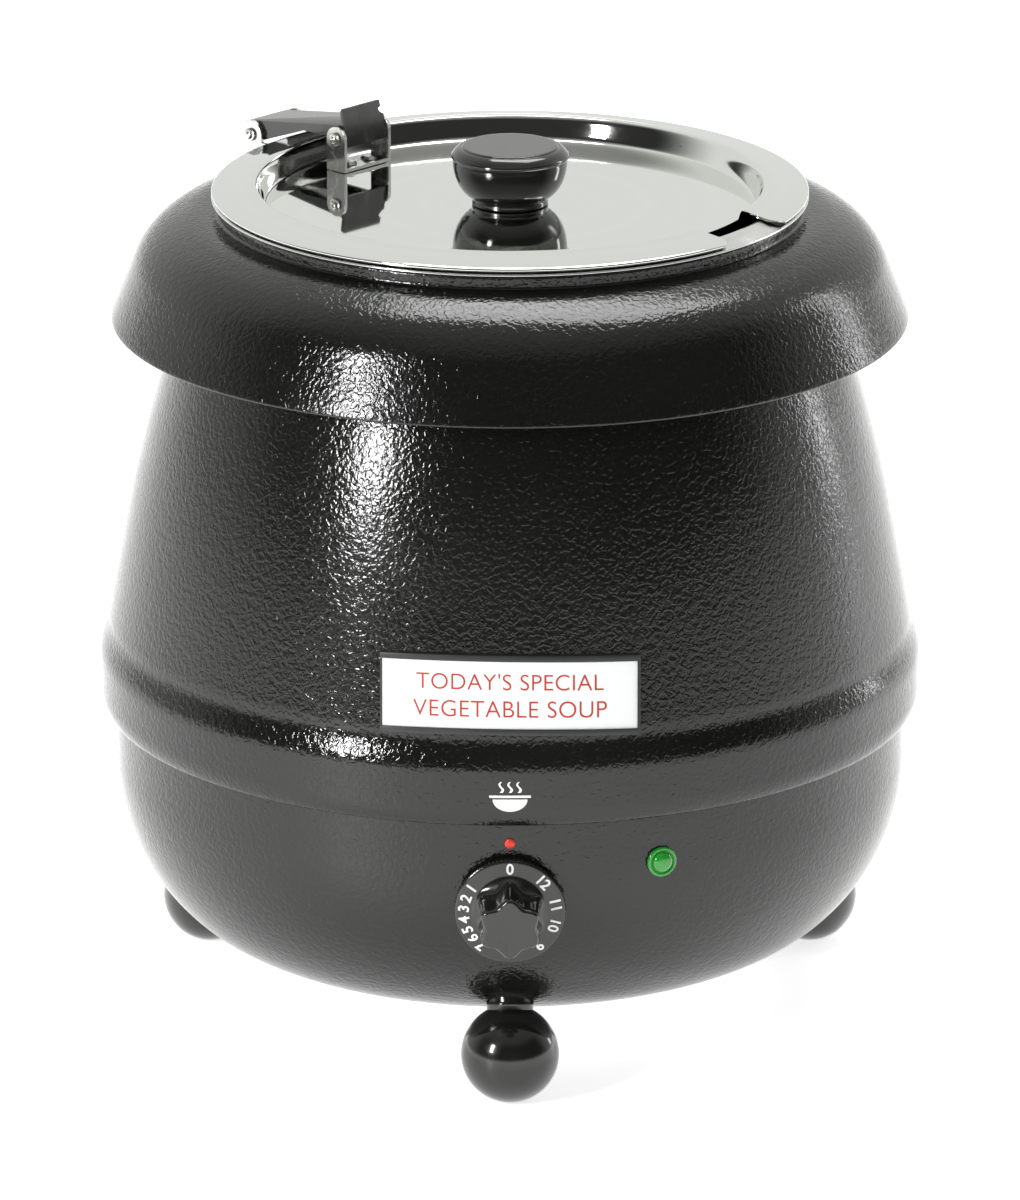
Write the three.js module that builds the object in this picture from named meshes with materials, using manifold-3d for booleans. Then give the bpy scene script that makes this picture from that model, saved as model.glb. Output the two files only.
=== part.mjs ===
// Electric soup kettle, ten litre class: a black casing on three ball feet, a water pan over a
// heating element, a lift-out stainless insert and a hinged stainless lid with a ladle slot.
// Millimetres, +Z up. The origin is on the kettle's axis at floor level, and the dial faces -Y.
import * as THREE from "three";
import { mergeVertices } from "three/addons/utils/BufferGeometryUtils.js";
import Module from "manifold-3d";

// ---- Driving dimensions -------------------------------------------------------------------

const GAP = 0.3; // between pieces that touch or rest on each other
const ROUND = 28; // facets round the big turned pieces
const FACET_GAP = 2; // behind a curved wall, where a flat piece rests on its facets
const SHEET = 1.5; // casing sheet thickness
const STAINLESS = 1.2; // pan and insert sheet thickness

const BAND_RADIUS = 172.4; // widest part of the casing
const BAND_STEP = 3.9; // how far the band stands out from the foot of the cone
const BAND_LIP = 3.8; // how far the band turns in at its lower edge
const BAND_HEIGHT = 38.6; // from the band's lower edge to the foot of the cone
const BAND_OVERLAP = 3.6; // how far the band reaches down over the bowl

const CONE_STATIONS = 7;
const BOWL_RADIUS = 166.2;
const BOWL_BOTTOM_Z = 29;
const BOWL_HEIGHT = 102;
const BOWL_CURVE_R = 64.2; // radial reach of the bowl's rounded lower part
const BOWL_CURVE_SHARE = 0.7745; // of the bowl's height that is rounded
const BOWL_FLANGE = 18; // ledge at the bowl's rim that carries the pan and the body
const BOWL_FLOOR_LEDGE = 6; // ledge round the bottom opening, over the base plate

const BODY_HEIGHT = 188.8; // from the bowl's rim to the top of the body
const BODY_TOP_RADIUS = 128.5;

const POT_RADIUS = 113; // outside of the insert's wall
const POT_CORNER = 18;
const POT_RIM = 11; // width of the insert's rim outside its wall
const POT_RIM_RISE = 2.4; // how far the rim slopes up towards the mouth
const POT_CLEARANCE = 2.5; // between the insert's wall and the ring that carries its rim
const WATER_DEPTH = 29; // between the pan's floor and the insert's bottom

const NECK_INSET = 2.5; // how far the neck stands in from the insert's rim
const NECK_HEIGHT = 5.6; // visible neck between the shoulder and the insert's rim
const COLLAR_INSET = 6.4; // how far the collar's lower edge stands in from the band
const COLLAR_HEIGHT = 49.5;
const SHOULDER_IN = 14.1; // where the lines of skirt and shoulder would meet, in from the edge
const SHOULDER_UP = 35.2; // and up from it
const SHOULDER_ROUND = 13.4; // how far from that corner its rounding starts
const CROWN_WIDTH = 9; // nearly level ring between the shoulder and the neck
const RING_HEIGHT = 24.4; // support ring that carries the collar on the body

const PAN_RADIUS = 126;
const PAN_CORNER = 12;
const PAN_FLOOR_Z = 62; // underside of the pan's floor

const LID_SHEET = 1;
const LID_FLANGE = 18.2; // from the lid's edge to the crest of its flange
const LID_RISE = 2.5; // crest above the lid's edge
const LID_RECESS = 9.5; // depth of the flat disc under the crest
const LID_STEP = 4.5; // width of the rounded step between crest and disc
const LID_HEM = 1.7; // thickness of the hemmed edge
const SLOT_AZIMUTH = -35; // degrees, seen from above, from +X
const SLOT_WIDTH = 34;
const SLOT_FLARE = 6; // how far the slot's corners open out at the rim

const LID_KNOB_RADIUS = 24.6;
const LID_KNOB_NECK = 15.9;
const LID_KNOB_NECK_HEIGHT = 2.7;
const LID_KNOB_RING = 4.5; // height of the ring round the knob's top
const LID_KNOB_HEIGHT = 24.6;
const LID_SCREW = 2.5; // radius of the screw through the lid

const HINGE_AZIMUTH = 137;
const REAR_PIVOT_OUT = 13; // rear pivot outside the lid's edge
const REAR_PIVOT_UP = 0.1; // rear pivot above the lid's edge
const LINK_REACH = 50; // level distance between the pivots
const LINK_RISE = 7.1; // front pivot above the rear pivot
const LINK_WIDTH = 24.4;
const LINK_SHEET = 1.3;
const LINK_TOP = 4.4; // underside of the link's top plate above the pivots' line
const BRACKET_CLEARANCE = 0.8; // between the rear bracket and the collar's shoulder
const LINK_TAB = 12.5; // top of the link's end plate above the pivots' line
const LINK_TAB_DROP = 4.1; // and its lower edge below that line
const LINK_NOSE = 3.8; // of the end plate's face beyond the front pivot
const TAB_NOTCH = 1.5; // how much narrower the end plate is above its notch
const EAR_SHEET = 1.5;
const EAR_GAP = 0.35; // between the link and each bracket's ears
const EAR_RADIUS = 5.2;
const REAR_EAR_RADIUS = 6.2;
const PIN_RADIUS = 2;
const PIN_CLEARANCE = 0.3;
const PIN_HEAD = 3;

const DIAL_RADIUS = 22.8;
const DIAL_SKIRT = 4.3;
const DIAL_DROP = 38.2; // dial's middle below the bowl's rim
const DIAL_TILT = 3; // degrees that the dial faces below level
const DIAL_STANDOFF = 1; // of the dial's back face beyond the bowl's widest radius
const GRIP_LENGTH = 18.5;
const GRIP_RADIUS = 12.6;
const GRIP_LOBES = 6;
const GRIP_LOBE_DEPTH = 1.1;
const SHAFT_RADIUS = 3;
const BUSH_RADIUS = 4.4; // threaded bush round the shaft, through the bowl's wall
const BUSH_NUT = 8;
const BUSH_NUT_THICKNESS = 2.4;
const CASE_CLEARANCE = 1.96; // between the thermostat's case and the bowl's wall

const LAMP_ANGLE = 21.7; // degrees round from the dial
const LAMP_DROP = 22.3; // lamp below the bowl's rim
const LAMP_RADIUS = 6.3;
const LAMP_LENS_RADIUS = 4.1;
const LAMP_STEM = 5;
const INDEX_DROP = 10.6; // index dot below the bowl's rim
const INDEX_RADIUS = 2.3;

const LABEL_WIDTH = 103;
const LABEL_HEIGHT = 27.5;
const LABEL_RAIL = 2.5;
const LABEL_RISE = 53; // label's middle above the bowl's rim

const FOOT_RADIUS = 20.3;
const FOOT_FLAT = 0.8; // how much of the ball is flattened where it stands
const FOOT_REACH = 38; // foot circle outside the bowl's bottom opening
const FOOT_TILT = 20.5; // degrees that each foot splays outward
const FOOT_NECK = 8.8;
const FOOT_AZIMUTHS = { front: -90, left: 157.5, right: 22.5 };
const FOOT_BOLT = 3;

const GLAND_DROP = 26; // cord inlet below the bowl's rim
const GLAND_RADIUS = 11;
const GLAND_THREAD = 8;
const GLAND_LENGTH = 20.6;
const CORD_HOLE = 4.2;

const ELEMENT_RADIUS = 85;
const ELEMENT_TUBE = 4;
const SPREADER = 2; // thickness of the aluminium plate under the pan
const CLAMP_SHEET = 2;
const SCREW_RADIUS = 2;
const SCREW_HEAD = 4;

// ---- Places worked out from them ----------------------------------------------------------

const bowlCentre = BOWL_RADIUS - BOWL_CURVE_R;
const bowlTopZ = BOWL_BOTTOM_Z + BOWL_HEIGHT;
const bowlCurveZ = BOWL_HEIGHT * BOWL_CURVE_SHARE;
const bandFootZ = bowlTopZ - BAND_OVERLAP;
const coneFootZ = bandFootZ + BAND_HEIGHT;
const bodyTopZ = bowlTopZ + BODY_HEIGHT;
const coneFootRadius = BAND_RADIUS - BAND_STEP;
const ledgeBore = POT_RADIUS + POT_CLEARANCE;
const ringBore = ledgeBore + 2;
const neckTopZ = bodyTopZ + GAP + RING_HEIGHT + GAP + SHEET;
const rimRadius = POT_RADIUS + POT_RIM;
const neckRadius = rimRadius - NECK_INSET;
const collarRadius = BAND_RADIUS - COLLAR_INSET;
const collarEdgeZ = neckTopZ - COLLAR_HEIGHT;
const shoulderZ = neckTopZ - NECK_HEIGHT;
const panTopZ = bowlTopZ + GAP + STAINLESS;
const potBottomZ = PAN_FLOOR_Z + STAINLESS + WATER_DEPTH;
const rimSeatZ = neckTopZ + GAP;
const rimEdgeZ = rimSeatZ + STAINLESS;
const mouthZ = rimEdgeZ + POT_RIM_RISE;
const lidHemWidth = 2;
const lidEdgeZ = rimEdgeZ + (POT_RIM_RISE * lidHemWidth) / (POT_RIM - 1) + GAP + LID_HEM;
const crestRadius = rimRadius - LID_FLANGE;
const crestZ = lidEdgeZ + LID_RISE;
const discRadius = crestRadius - LID_STEP;
const discZ = crestZ - LID_RECESS;
const rearPivotR = rimRadius + REAR_PIVOT_OUT;
const rearPivotZ = lidEdgeZ + REAR_PIVOT_UP;
const frontPivotR = rearPivotR - LINK_REACH;
const frontPivotZ = rearPivotZ + LINK_RISE;
const linkLength = Math.hypot(LINK_REACH, LINK_RISE);
const linkSlope = Math.atan2(LINK_RISE, LINK_REACH);
const earInner = LINK_WIDTH / 2 + EAR_GAP;
const earOuter = earInner + EAR_SHEET;
const footCircle = bowlCentre + FOOT_REACH;
const footCentreZ = FOOT_RADIUS - FOOT_FLAT;
const dialZ = bowlTopZ - DIAL_DROP;
const lampZ = bowlTopZ - LAMP_DROP;
const indexZ = bowlTopZ - INDEX_DROP;
const glandZ = bowlTopZ - GLAND_DROP;
const labelZ = bowlTopZ + LABEL_RISE;
const spreaderTopZ = PAN_FLOOR_Z - GAP;
const elementZ = spreaderTopZ - SPREADER - GAP - ELEMENT_TUBE;
const clampTopZ = elementZ - ELEMENT_TUBE - GAP;

const degrees = THREE.MathUtils.degToRad;

// ---- Solids -------------------------------------------------------------------------------

const wasm = await Module();
wasm.setup();

// A closed geometry as a solid, with its seams merged and its faces turned outward.
function toSolid(geometry) {
  const loose = geometry.index ? geometry.toNonIndexed() : geometry.clone();
  loose.deleteAttribute("normal");
  loose.deleteAttribute("uv");
  const merged = mergeVertices(loose, 1e-3);
  const corners = merged.index.array;
  const kept = [];
  for (let i = 0; i < corners.length; i += 3) {
    const [a, b, c] = corners.slice(i, i + 3);
    if (a !== b && b !== c && c !== a) kept.push([a, b, c]);
  }
  const make = (faces) =>
    new wasm.Manifold(
      new wasm.Mesh({
        numProp: 3,
        vertProperties: merged.attributes.position.array,
        triVerts: new Uint32Array(faces.flat()),
      }),
    );
  const made = make(kept);
  return made.volume() > 0 ? made : make(kept.map(([a, b, c]) => [a, c, b]));
}

function toGeometry(solid) {
  const mesh = solid.getMesh();
  const geometry = new THREE.BufferGeometry();
  geometry.setAttribute("position", new THREE.BufferAttribute(mesh.vertProperties, 3));
  geometry.setIndex(new THREE.BufferAttribute(mesh.triVerts, 1));
  geometry.computeVertexNormals();
  return geometry;
}

const clean = (geometry) => toGeometry(toSolid(geometry));
const join = (...parts) => toGeometry(parts.map(toSolid).reduce((a, b) => a.add(b)));
const cut = (part, ...tools) =>
  toGeometry(tools.map(toSolid).reduce((a, b) => a.subtract(b), toSolid(part)));
const meet = (a, b) => toGeometry(toSolid(a).intersect(toSolid(b)));

// A solid of revolution about Z from an outline of [radius, height] points.
function turned(outline, facets = ROUND) {
  const points = outline.map(([r, z]) => new THREE.Vector2(Math.max(r, 0), z));
  return clean(new THREE.LatheGeometry(points, facets).rotateX(Math.PI / 2));
}

// A sheet of revolution: its outside as [radius, height] points, thickened left of the path.
function spun(path, thickness, facets = ROUND) {
  const last = path.length - 1;
  const heading = (i) => unit([path[i + 1][0] - path[i][0], path[i + 1][1] - path[i][1]]);
  const inner = path.map((point, i) => {
    const into = heading(Math.max(i - 1, 0));
    const out = heading(Math.min(i, last - 1));
    const across = unit([-(into[1] + out[1]), into[0] + out[0]]);
    const reach = thickness / Math.max(0.5, -across[0] * into[1] + across[1] * into[0]);
    return [point[0] + across[0] * reach, point[1] + across[1] * reach];
  });
  return turned([...path, ...inner.reverse(), path[0]], facets);
}

const unit = ([x, y]) => [x / Math.hypot(x, y), y / Math.hypot(x, y)];

// Points along an elliptical arc, angles in degrees.
function arc(centre, radii, from, to, steps) {
  return Array.from({ length: steps + 1 }, (_, i) => {
    const angle = degrees(from + ((to - from) * i) / steps);
    return [centre[0] + radii[0] * Math.cos(angle), centre[1] + radii[1] * Math.sin(angle)];
  });
}

// Points along a curve that leaves p and reaches q in line with a corner between them.
function bend(p, corner, q, steps) {
  const curve = new THREE.QuadraticBezierCurve(
    new THREE.Vector2(...p),
    new THREE.Vector2(...corner),
    new THREE.Vector2(...q),
  );
  return curve.getPoints(steps).map((point) => [point.x, point.y]);
}

// The point a distance away from p, in the direction of q.
function towards(p, q, distance) {
  const [x, y] = unit([q[0] - p[0], q[1] - p[1]]);
  return [p[0] + x * distance, p[1] + y * distance];
}

const rod = (radius, from, to, facets = 16) =>
  turned([[0, from], [radius, from], [radius, to], [0, to]], facets);

const pipe = (inner, outer, from, to, facets = ROUND) =>
  turned([[inner, from], [outer, from], [outer, to], [inner, to], [inner, from]], facets);

function box([x0, x1], [y0, y1], [z0, z1]) {
  const shape = new THREE.BoxGeometry(x1 - x0, y1 - y0, z1 - z0);
  return shape.translate((x0 + x1) / 2, (y0 + y1) / 2, (z0 + z1) / 2);
}

// A flat outline in X and Y, extruded up Z.
function slab(shape, from, to, curveSegments = 8) {
  const solid = new THREE.ExtrudeGeometry(shape, { depth: to - from, bevelEnabled: false, curveSegments });
  return clean(solid.translate(0, 0, from));
}

// An outline drawn in X and Z, centred on the XZ plane and given a width along Y.
function plate(shape, from, to, curveSegments = 8) {
  return slab(shape, from, to, curveSegments).rotateX(Math.PI / 2).scale(1, -1, 1);
}

function tube(points, radius, sides, steps) {
  const section = new THREE.Shape();
  for (let i = 0; i <= sides; i++) {
    const angle = (2 * Math.PI * i) / sides;
    if (i === 0) section.moveTo(radius, 0);
    else section.lineTo(radius * Math.cos(angle), radius * Math.sin(angle));
  }
  const extrudePath = new THREE.CatmullRomCurve3(points.map((p) => new THREE.Vector3(...p)));
  return clean(new THREE.ExtrudeGeometry(section, { extrudePath, steps }));
}

// ---- Materials ----------------------------------------------------------------------------

const finish = (color, roughness, metalness) =>
  new THREE.MeshStandardMaterial({ color, roughness, metalness });
const POWDER_BLACK = finish(0x151515, 0.35, 0.2);
const BLACK_PLASTIC = finish(0x0c0c0d, 0.25, 0);
const BLACK_STEEL = finish(0x1d1d1e, 0.3, 0.4);
const STEEL = finish(0xc9cac8, 0.18, 1);
const GALVANISED = finish(0x9fa2a3, 0.45, 0.9);
const ALUMINIUM = finish(0xb9bcbf, 0.4, 0.9);
const WHITE_CARD = finish(0xf4f4f2, 0.6, 0);
const RED = finish(0xd8321f, 0.4, 0);
const GREEN = finish(0x2c9a35, 0.2, 0);
const IVORY = finish(0xd9d2bd, 0.5, 0);
const COPPER = finish(0xb0703c, 0.4, 0.9);

// ---- Assembly helpers ---------------------------------------------------------------------

const kettle = new THREE.Group();

function add(parent, name, geometry, material) {
  const mesh = new THREE.Mesh(geometry, material);
  mesh.name = name;
  parent.add(mesh);
  return mesh;
}

// A frame turned about Z, whose +X points outward at that azimuth.
function radialFrame(azimuth) {
  const frame = new THREE.Group();
  frame.rotation.z = degrees(azimuth);
  kettle.add(frame);
  return frame;
}

// ---- Casing -------------------------------------------------------------------------------

// The bowl's rounded lower part, from the bottom opening outward and up, grown by a clearance.
const bowlCurve = (extra = 0) =>
  arc([bowlCentre, BOWL_BOTTOM_Z + bowlCurveZ], [BOWL_CURVE_R + extra, bowlCurveZ + extra], -90, 0, 7);

// Radius of the bowl's outside at a height.
function bowlRadiusAt(z) {
  const below = Math.max(0, BOWL_BOTTOM_Z + bowlCurveZ - z) / bowlCurveZ;
  return bowlCentre + BOWL_CURVE_R * Math.sqrt(1 - below ** 2);
}

// Direction of a foot's neck in its own radial frame: up and leaning towards the kettle's axis.
const alongFoot = (geometry) =>
  geometry.rotateY(degrees(-FOOT_TILT)).translate(footCircle, 0, footCentreZ);

// From the dial's own frame, origin at the middle of its back face and +Z out of the kettle.
const alongDial = (geometry) =>
  geometry.rotateX(degrees(90 + DIAL_TILT)).translate(0, -(BOWL_RADIUS + DIAL_STANDOFF), dialZ);

function bowlShell() {
  const edge = 2;
  const path = [
    [bowlCentre - BOWL_FLOOR_LEDGE, BOWL_BOTTOM_Z],
    ...bowlCurve(),
    ...arc([BOWL_RADIUS - edge, bowlTopZ - edge], [edge, edge], 0, 90, 2),
    [BOWL_RADIUS - BOWL_FLANGE, bowlTopZ],
  ];
  const holes = Object.values(FOOT_AZIMUTHS).map((azimuth) =>
    alongFoot(rod(FOOT_BOLT + 0.5, 0, 60, 12)).rotateZ(degrees(azimuth)),
  );
  const wallHole = (radius, z, angle) =>
    rod(radius, BOWL_RADIUS - 20, BOWL_RADIUS + 10, 12)
      .rotateX(Math.PI / 2)
      .translate(0, 0, z)
      .rotateZ(degrees(angle));
  holes.push(alongDial(rod(BUSH_RADIUS + GAP, -20, 20, 12)));
  holes.push(wallHole(LAMP_STEM + GAP, lampZ, LAMP_ANGLE));
  holes.push(wallHole(GLAND_THREAD + GAP, glandZ, 180));
  const rimHoles = bracketAzimuths.map((azimuth) =>
    rod(SCREW_RADIUS + GAP, bowlTopZ - 4, bowlTopZ + 4, 10)
      .translate(BOWL_RADIUS - bracketInset, 0, 0)
      .rotateZ(degrees(azimuth)),
  );
  return cut(spun(path, SHEET), ...holes, ...rimHoles);
}

// Radius of the cone at a share of its height: steep at the foot, rounding over to the top.
const coneRadius = (share) =>
  coneFootRadius - (coneFootRadius - BODY_TOP_RADIUS) * (0.68 * share + 0.32 * share ** 3);

function bodyPath() {
  const shoulder = 3;
  const coneTopZ = bodyTopZ - shoulder;
  const lip = arc([BAND_RADIUS - BAND_LIP, bandFootZ + 9], [BAND_LIP, 9], -60, 0, 2);
  const flare = [1, 0.7, 0.3].map((share) => [
    coneFootRadius + BAND_STEP * (0.5 - 0.5 * Math.cos(Math.PI * share)),
    coneFootZ - 16 * share,
  ]);
  const cone = Array.from({ length: CONE_STATIONS }, (_, i) => {
    const share = i / (CONE_STATIONS - 1);
    return [coneRadius(share), coneFootZ + (coneTopZ - coneFootZ) * share];
  });
  return [
    ...lip,
    ...flare,
    ...cone,
    [BODY_TOP_RADIUS - shoulder, bodyTopZ],
    [ringBore, bodyTopZ],
  ];
}

// Outside of the collar from its lower edge up the skirt, round the shoulder and up the neck.
function collarPath() {
  const fillet = 1.2;
  const edge = [collarRadius, collarEdgeZ];
  const corner = [collarRadius - SHOULDER_IN, collarEdgeZ + SHOULDER_UP];
  const crown = [neckRadius + CROWN_WIDTH, shoulderZ];
  const skirtEnd = towards(corner, edge, SHOULDER_ROUND);
  const shoulderEnd = towards(corner, crown, SHOULDER_ROUND);
  return [
    edge,
    ...bend(skirtEnd, corner, shoulderEnd, 4),
    ...bend(towards(crown, corner, 6), crown, [neckRadius + fillet, shoulderZ], 2),
    [neckRadius, shoulderZ + fillet],
    ...arc([neckRadius - fillet, neckTopZ - fillet], [fillet, fillet], 0, 90, 2),
    [ledgeBore, neckTopZ],
  ];
}

const collarShell = () => spun(collarPath(), SHEET);

// Height of the collar's shoulder at a radius outside its neck.
function shoulderHeight(radius) {
  const path = collarPath();
  const i = path.findIndex((point, k) => k > 0 && point[0] <= radius);
  const [outer, inner] = [path[i - 1], path[i]];
  return outer[1] + ((inner[1] - outer[1]) * (outer[0] - radius)) / (outer[0] - inner[0]);
}

// L-shaped ring: its foot stands on the body's top and its wall carries the collar's ledge.
function supportRing() {
  const foot = bodyTopZ + GAP;
  const top = foot + RING_HEIGHT;
  const footRadius = BODY_TOP_RADIUS - 4;
  return turned([
    [ringBore, foot],
    [footRadius, foot],
    [footRadius, foot + SHEET],
    [ringBore + SHEET, foot + SHEET],
    [ringBore + SHEET, top],
    [ringBore, top],
    [ringBore, foot],
  ]);
}

const bracketAzimuths = [-150, -30, 90];
const bracketInset = 10; // of each casing bracket's screw from the bowl's wall

// Angle bracket inside the band: one leg up the body's wall, one flat on the pan's flange.
function casingBracket() {
  const foot = panTopZ + GAP;
  const wall = BAND_RADIUS - SHEET - FACET_GAP - 1;
  const leg = box([wall - SHEET, wall], [-9, 9], [foot, foot + 16]);
  const base = box([BOWL_RADIUS - bracketInset - 7, wall], [-9, 9], [foot, foot + SHEET]);
  const hole = rod(SCREW_RADIUS + GAP, foot - 5, foot + 5, 10).translate(BOWL_RADIUS - bracketInset, 0, 0);
  return cut(join(leg, base), hole);
}

// Pan-head screw standing on a seat, its shank reaching down.
function screw(seat, length) {
  return turned([
    [0, seat - length],
    [SCREW_RADIUS, seat - length],
    [SCREW_RADIUS, seat],
    [SCREW_HEAD, seat],
    [SCREW_HEAD - 1, seat + 2],
    [0, seat + 2],
  ], 8);
}

// Screw through a bracket, the pan's flange and the bowl's ledge.
function casingScrew() {
  const seat = panTopZ + GAP + SHEET + GAP;
  return screw(seat, seat - bowlTopZ + SHEET + 3).translate(BOWL_RADIUS - bracketInset, 0, 0);
}

// Screw up through the base plate into the bowl's floor ledge.
function baseScrew() {
  const seat = BOWL_BOTTOM_Z - GAP - SHEET - GAP;
  return screw(-seat, SHEET + GAP).rotateX(Math.PI).translate(bowlCentre - BOWL_FLOOR_LEDGE / 2, 0, 0);
}

function basePlate() {
  const top = BOWL_BOTTOM_Z - GAP;
  const radius = bowlCentre - 1;
  const vents = [0, 1, 2, 3, 4, 5].map((i) =>
    box([30, 62], [-2.2, 2.2], [top - 5, top + 5]).rotateZ(degrees(30 + i * 60)),
  );
  const holes = baseScrewAzimuths.map((azimuth) =>
    rod(SCREW_RADIUS + GAP, top - 5, top + 5, 10)
      .translate(bowlCentre - BOWL_FLOOR_LEDGE / 2, 0, 0)
      .rotateZ(degrees(azimuth)),
  );
  return cut(rod(radius, top - SHEET, top, ROUND), ...vents, ...holes);
}

const baseScrewAzimuths = [-30, 90, 210];

// ---- Feet ---------------------------------------------------------------------------------

// Ball with a short neck that meets the bowl, flat where it stands and bored for its bolt.
function foot() {
  const ball = new THREE.SphereGeometry(FOOT_RADIUS, 16, 8)
    .rotateX(Math.PI / 2)
    .translate(footCircle, 0, footCentreZ);
  const neck = rod(FOOT_NECK, 0, 40, 12);
  const lipRadius = FOOT_NECK + 1;
  const lip = turned([[0, 16], [lipRadius, 19.6], [lipRadius, 21], [FOOT_NECK, 22], [0, 22]], 12);
  const bowl = turned([[0, BOWL_BOTTOM_Z - 2 * GAP], ...bowlCurve(2 * GAP), [0, bowlTopZ]]);
  const floor = box([0, 300], [-60, 60], [-60, 0]);
  const bore = alongFoot(rod(FOOT_BOLT + GAP, 4, 60, 12));
  return cut(join(ball, alongFoot(join(neck, lip))), bowl, floor, bore);
}

// Bolt from inside the bowl into the foot, with its head on a wedge washer's slope.
function footBolt() {
  const head = 36;
  const bolt = rod(FOOT_BOLT, 6, head + 1, 10);
  const hex = rod(5.5, head, head + 4, 6);
  return alongFoot(join(bolt, hex));
}

// ---- Water pan and heating ----------------------------------------------------------------

function waterPan() {
  const inside = PAN_RADIUS - STAINLESS;
  const floor = PAN_FLOOR_Z + STAINLESS;
  const flangeRadius = BOWL_RADIUS - 1.4;
  const corner = [PAN_RADIUS - PAN_CORNER, PAN_FLOOR_Z + PAN_CORNER];
  const outerCorner = arc(corner, [PAN_CORNER, PAN_CORNER], -90, 0, 2);
  const innerRadius = PAN_CORNER - STAINLESS;
  const innerCorner = arc(corner, [innerRadius, innerRadius], 0, -90, 2);
  const pan = turned([
    [0, PAN_FLOOR_Z],
    ...outerCorner,
    [PAN_RADIUS, bowlTopZ + GAP],
    [flangeRadius, bowlTopZ + GAP],
    [flangeRadius, panTopZ],
    [inside, panTopZ],
    ...innerCorner,
    [0, floor],
  ]);
  const holes = bracketAzimuths.map((azimuth) =>
    rod(SCREW_RADIUS + GAP, bowlTopZ - 4, bowlTopZ + 6, 10)
      .translate(BOWL_RADIUS - bracketInset, 0, 0)
      .rotateZ(degrees(azimuth)),
  );
  return cut(pan, ...holes);
}

// Tubular element: an open ring whose two ends turn down to the terminals at the back.
function heatingElement() {
  const opening = 16; // degrees each side of the back
  const steps = 18;
  const ring = Array.from({ length: steps + 1 }, (_, i) => {
    const angle = degrees(90 + opening + ((360 - 2 * opening) * i) / steps);
    return [ELEMENT_RADIUS * Math.cos(angle), ELEMENT_RADIUS * Math.sin(angle), elementZ];
  });
  const terminal = (side) =>
    terminalDrops.map(([inward, drop]) => [side * (elementEndX - inward), elementEndY, elementZ - drop]);
  return tube([...terminal(-1).reverse(), ...ring, ...terminal(1)], ELEMENT_TUBE, 8, 36);
}

// Steps of each terminal: how far towards the middle, and how far down.
const terminalDrops = [[4, 0.6], [8, 4.5], [9.5, 10], [9.5, 15]];
const elementEndX = ELEMENT_RADIUS * Math.sin(degrees(16));
const elementEndY = ELEMENT_RADIUS * Math.cos(degrees(16)) + 1;

function clampPlate() {
  const reach = ELEMENT_RADIUS + 10;
  const bar = box([-reach, reach], [-13, 13], [clampTopZ - CLAMP_SHEET, clampTopZ]);
  return cut(bar, rod(SCREW_RADIUS + 1 + GAP, clampTopZ - 6, clampTopZ + 6, 12));
}

function heatSpreader() {
  const plateBottom = spreaderTopZ - SPREADER;
  const disc = rod(ELEMENT_RADIUS + 14, plateBottom, spreaderTopZ, 36);
  const stud = rod(SCREW_RADIUS + 1, clampTopZ - CLAMP_SHEET - 12, plateBottom + 1, 12);
  return join(disc, stud);
}

function clampNut() {
  const top = clampTopZ - CLAMP_SHEET - GAP;
  return cut(rod(6, top - 5, top, 6), rod(SCREW_RADIUS + 1 + GAP, top - 8, top + 3, 12));
}

function thermalCutout() {
  const top = spreaderTopZ - SPREADER - GAP;
  const rim = top - 1.5;
  const can = turned([[0, top - 6], [8, top - 6], [8, rim], [10, rim], [10, top], [0, top]], 20);
  const blades = [-4, 4].map((x) => box([x - 1.6, x + 1.6], [-0.4, 0.4], [top - 13, top - 5]));
  return join(can, ...blades).translate(0, -45, 0);
}

// ---- Thermostat and dial ------------------------------------------------------------------

// Outline of the grip: a circle with shallow scallops between its lobes.
function gripShape() {
  const steps = GRIP_LOBES * 6;
  const shape = new THREE.Shape();
  for (let i = 0; i < steps; i++) {
    const angle = (2 * Math.PI * i) / steps + Math.PI / 2;
    const radius = GRIP_RADIUS + GRIP_LOBE_DEPTH * Math.cos(GRIP_LOBES * (angle - Math.PI / 2));
    const point = [radius * Math.cos(angle), radius * Math.sin(angle)];
    if (i === 0) shape.moveTo(...point);
    else shape.lineTo(...point);
  }
  return shape;
}

function controlKnob() {
  const edge = DIAL_RADIUS - 1;
  const outline = [[0, 0], [DIAL_RADIUS, 0], [DIAL_RADIUS, 2], [edge, DIAL_SKIRT], [0, DIAL_SKIRT]];
  const skirt = turned(outline, 24);
  const grip = slab(gripShape(), DIAL_SKIRT - 1, DIAL_SKIRT + GRIP_LENGTH);
  const bore = rod(SHAFT_RADIUS + GAP, -1, DIAL_SKIRT + 8, 12);
  const recess = rod(BUSH_NUT + 1.5, -1, nutFront + 0.8, 16);
  return cut(join(skirt, grip), bore, recess);
}

const caseDepth = 19;
const caseHalfHeight = 13;
const wallBehindDial = bowlRadiusAt(dialZ - caseHalfHeight - 1) - SHEET - CASE_CLEARANCE;
const thermostatFront = wallBehindDial - BOWL_RADIUS - DIAL_STANDOFF; // from the dial's back face
const nutFront = 1.2; // of the bush's nut, inside the dial's hollow back

function thermostatShaft() {
  return rod(SHAFT_RADIUS, thermostatFront - 6, DIAL_SKIRT + 7, 12);
}

// Switch case with its threaded bush through the bowl's wall and two tab terminals behind.
function thermostatBody() {
  const back = thermostatFront - caseDepth;
  const body = box([-17, 17], [-caseHalfHeight, caseHalfHeight], [back, thermostatFront]);
  const bush = rod(BUSH_RADIUS, thermostatFront - 1, nutFront, 12);
  const terminals = [-9, 9].map((x) => box([x - 3, x + 3], [-0.4, 0.4], [back - 6, back + 1]));
  return cut(join(body, bush, ...terminals), rod(SHAFT_RADIUS + GAP, thermostatFront - 8, 5, 12));
}

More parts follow.
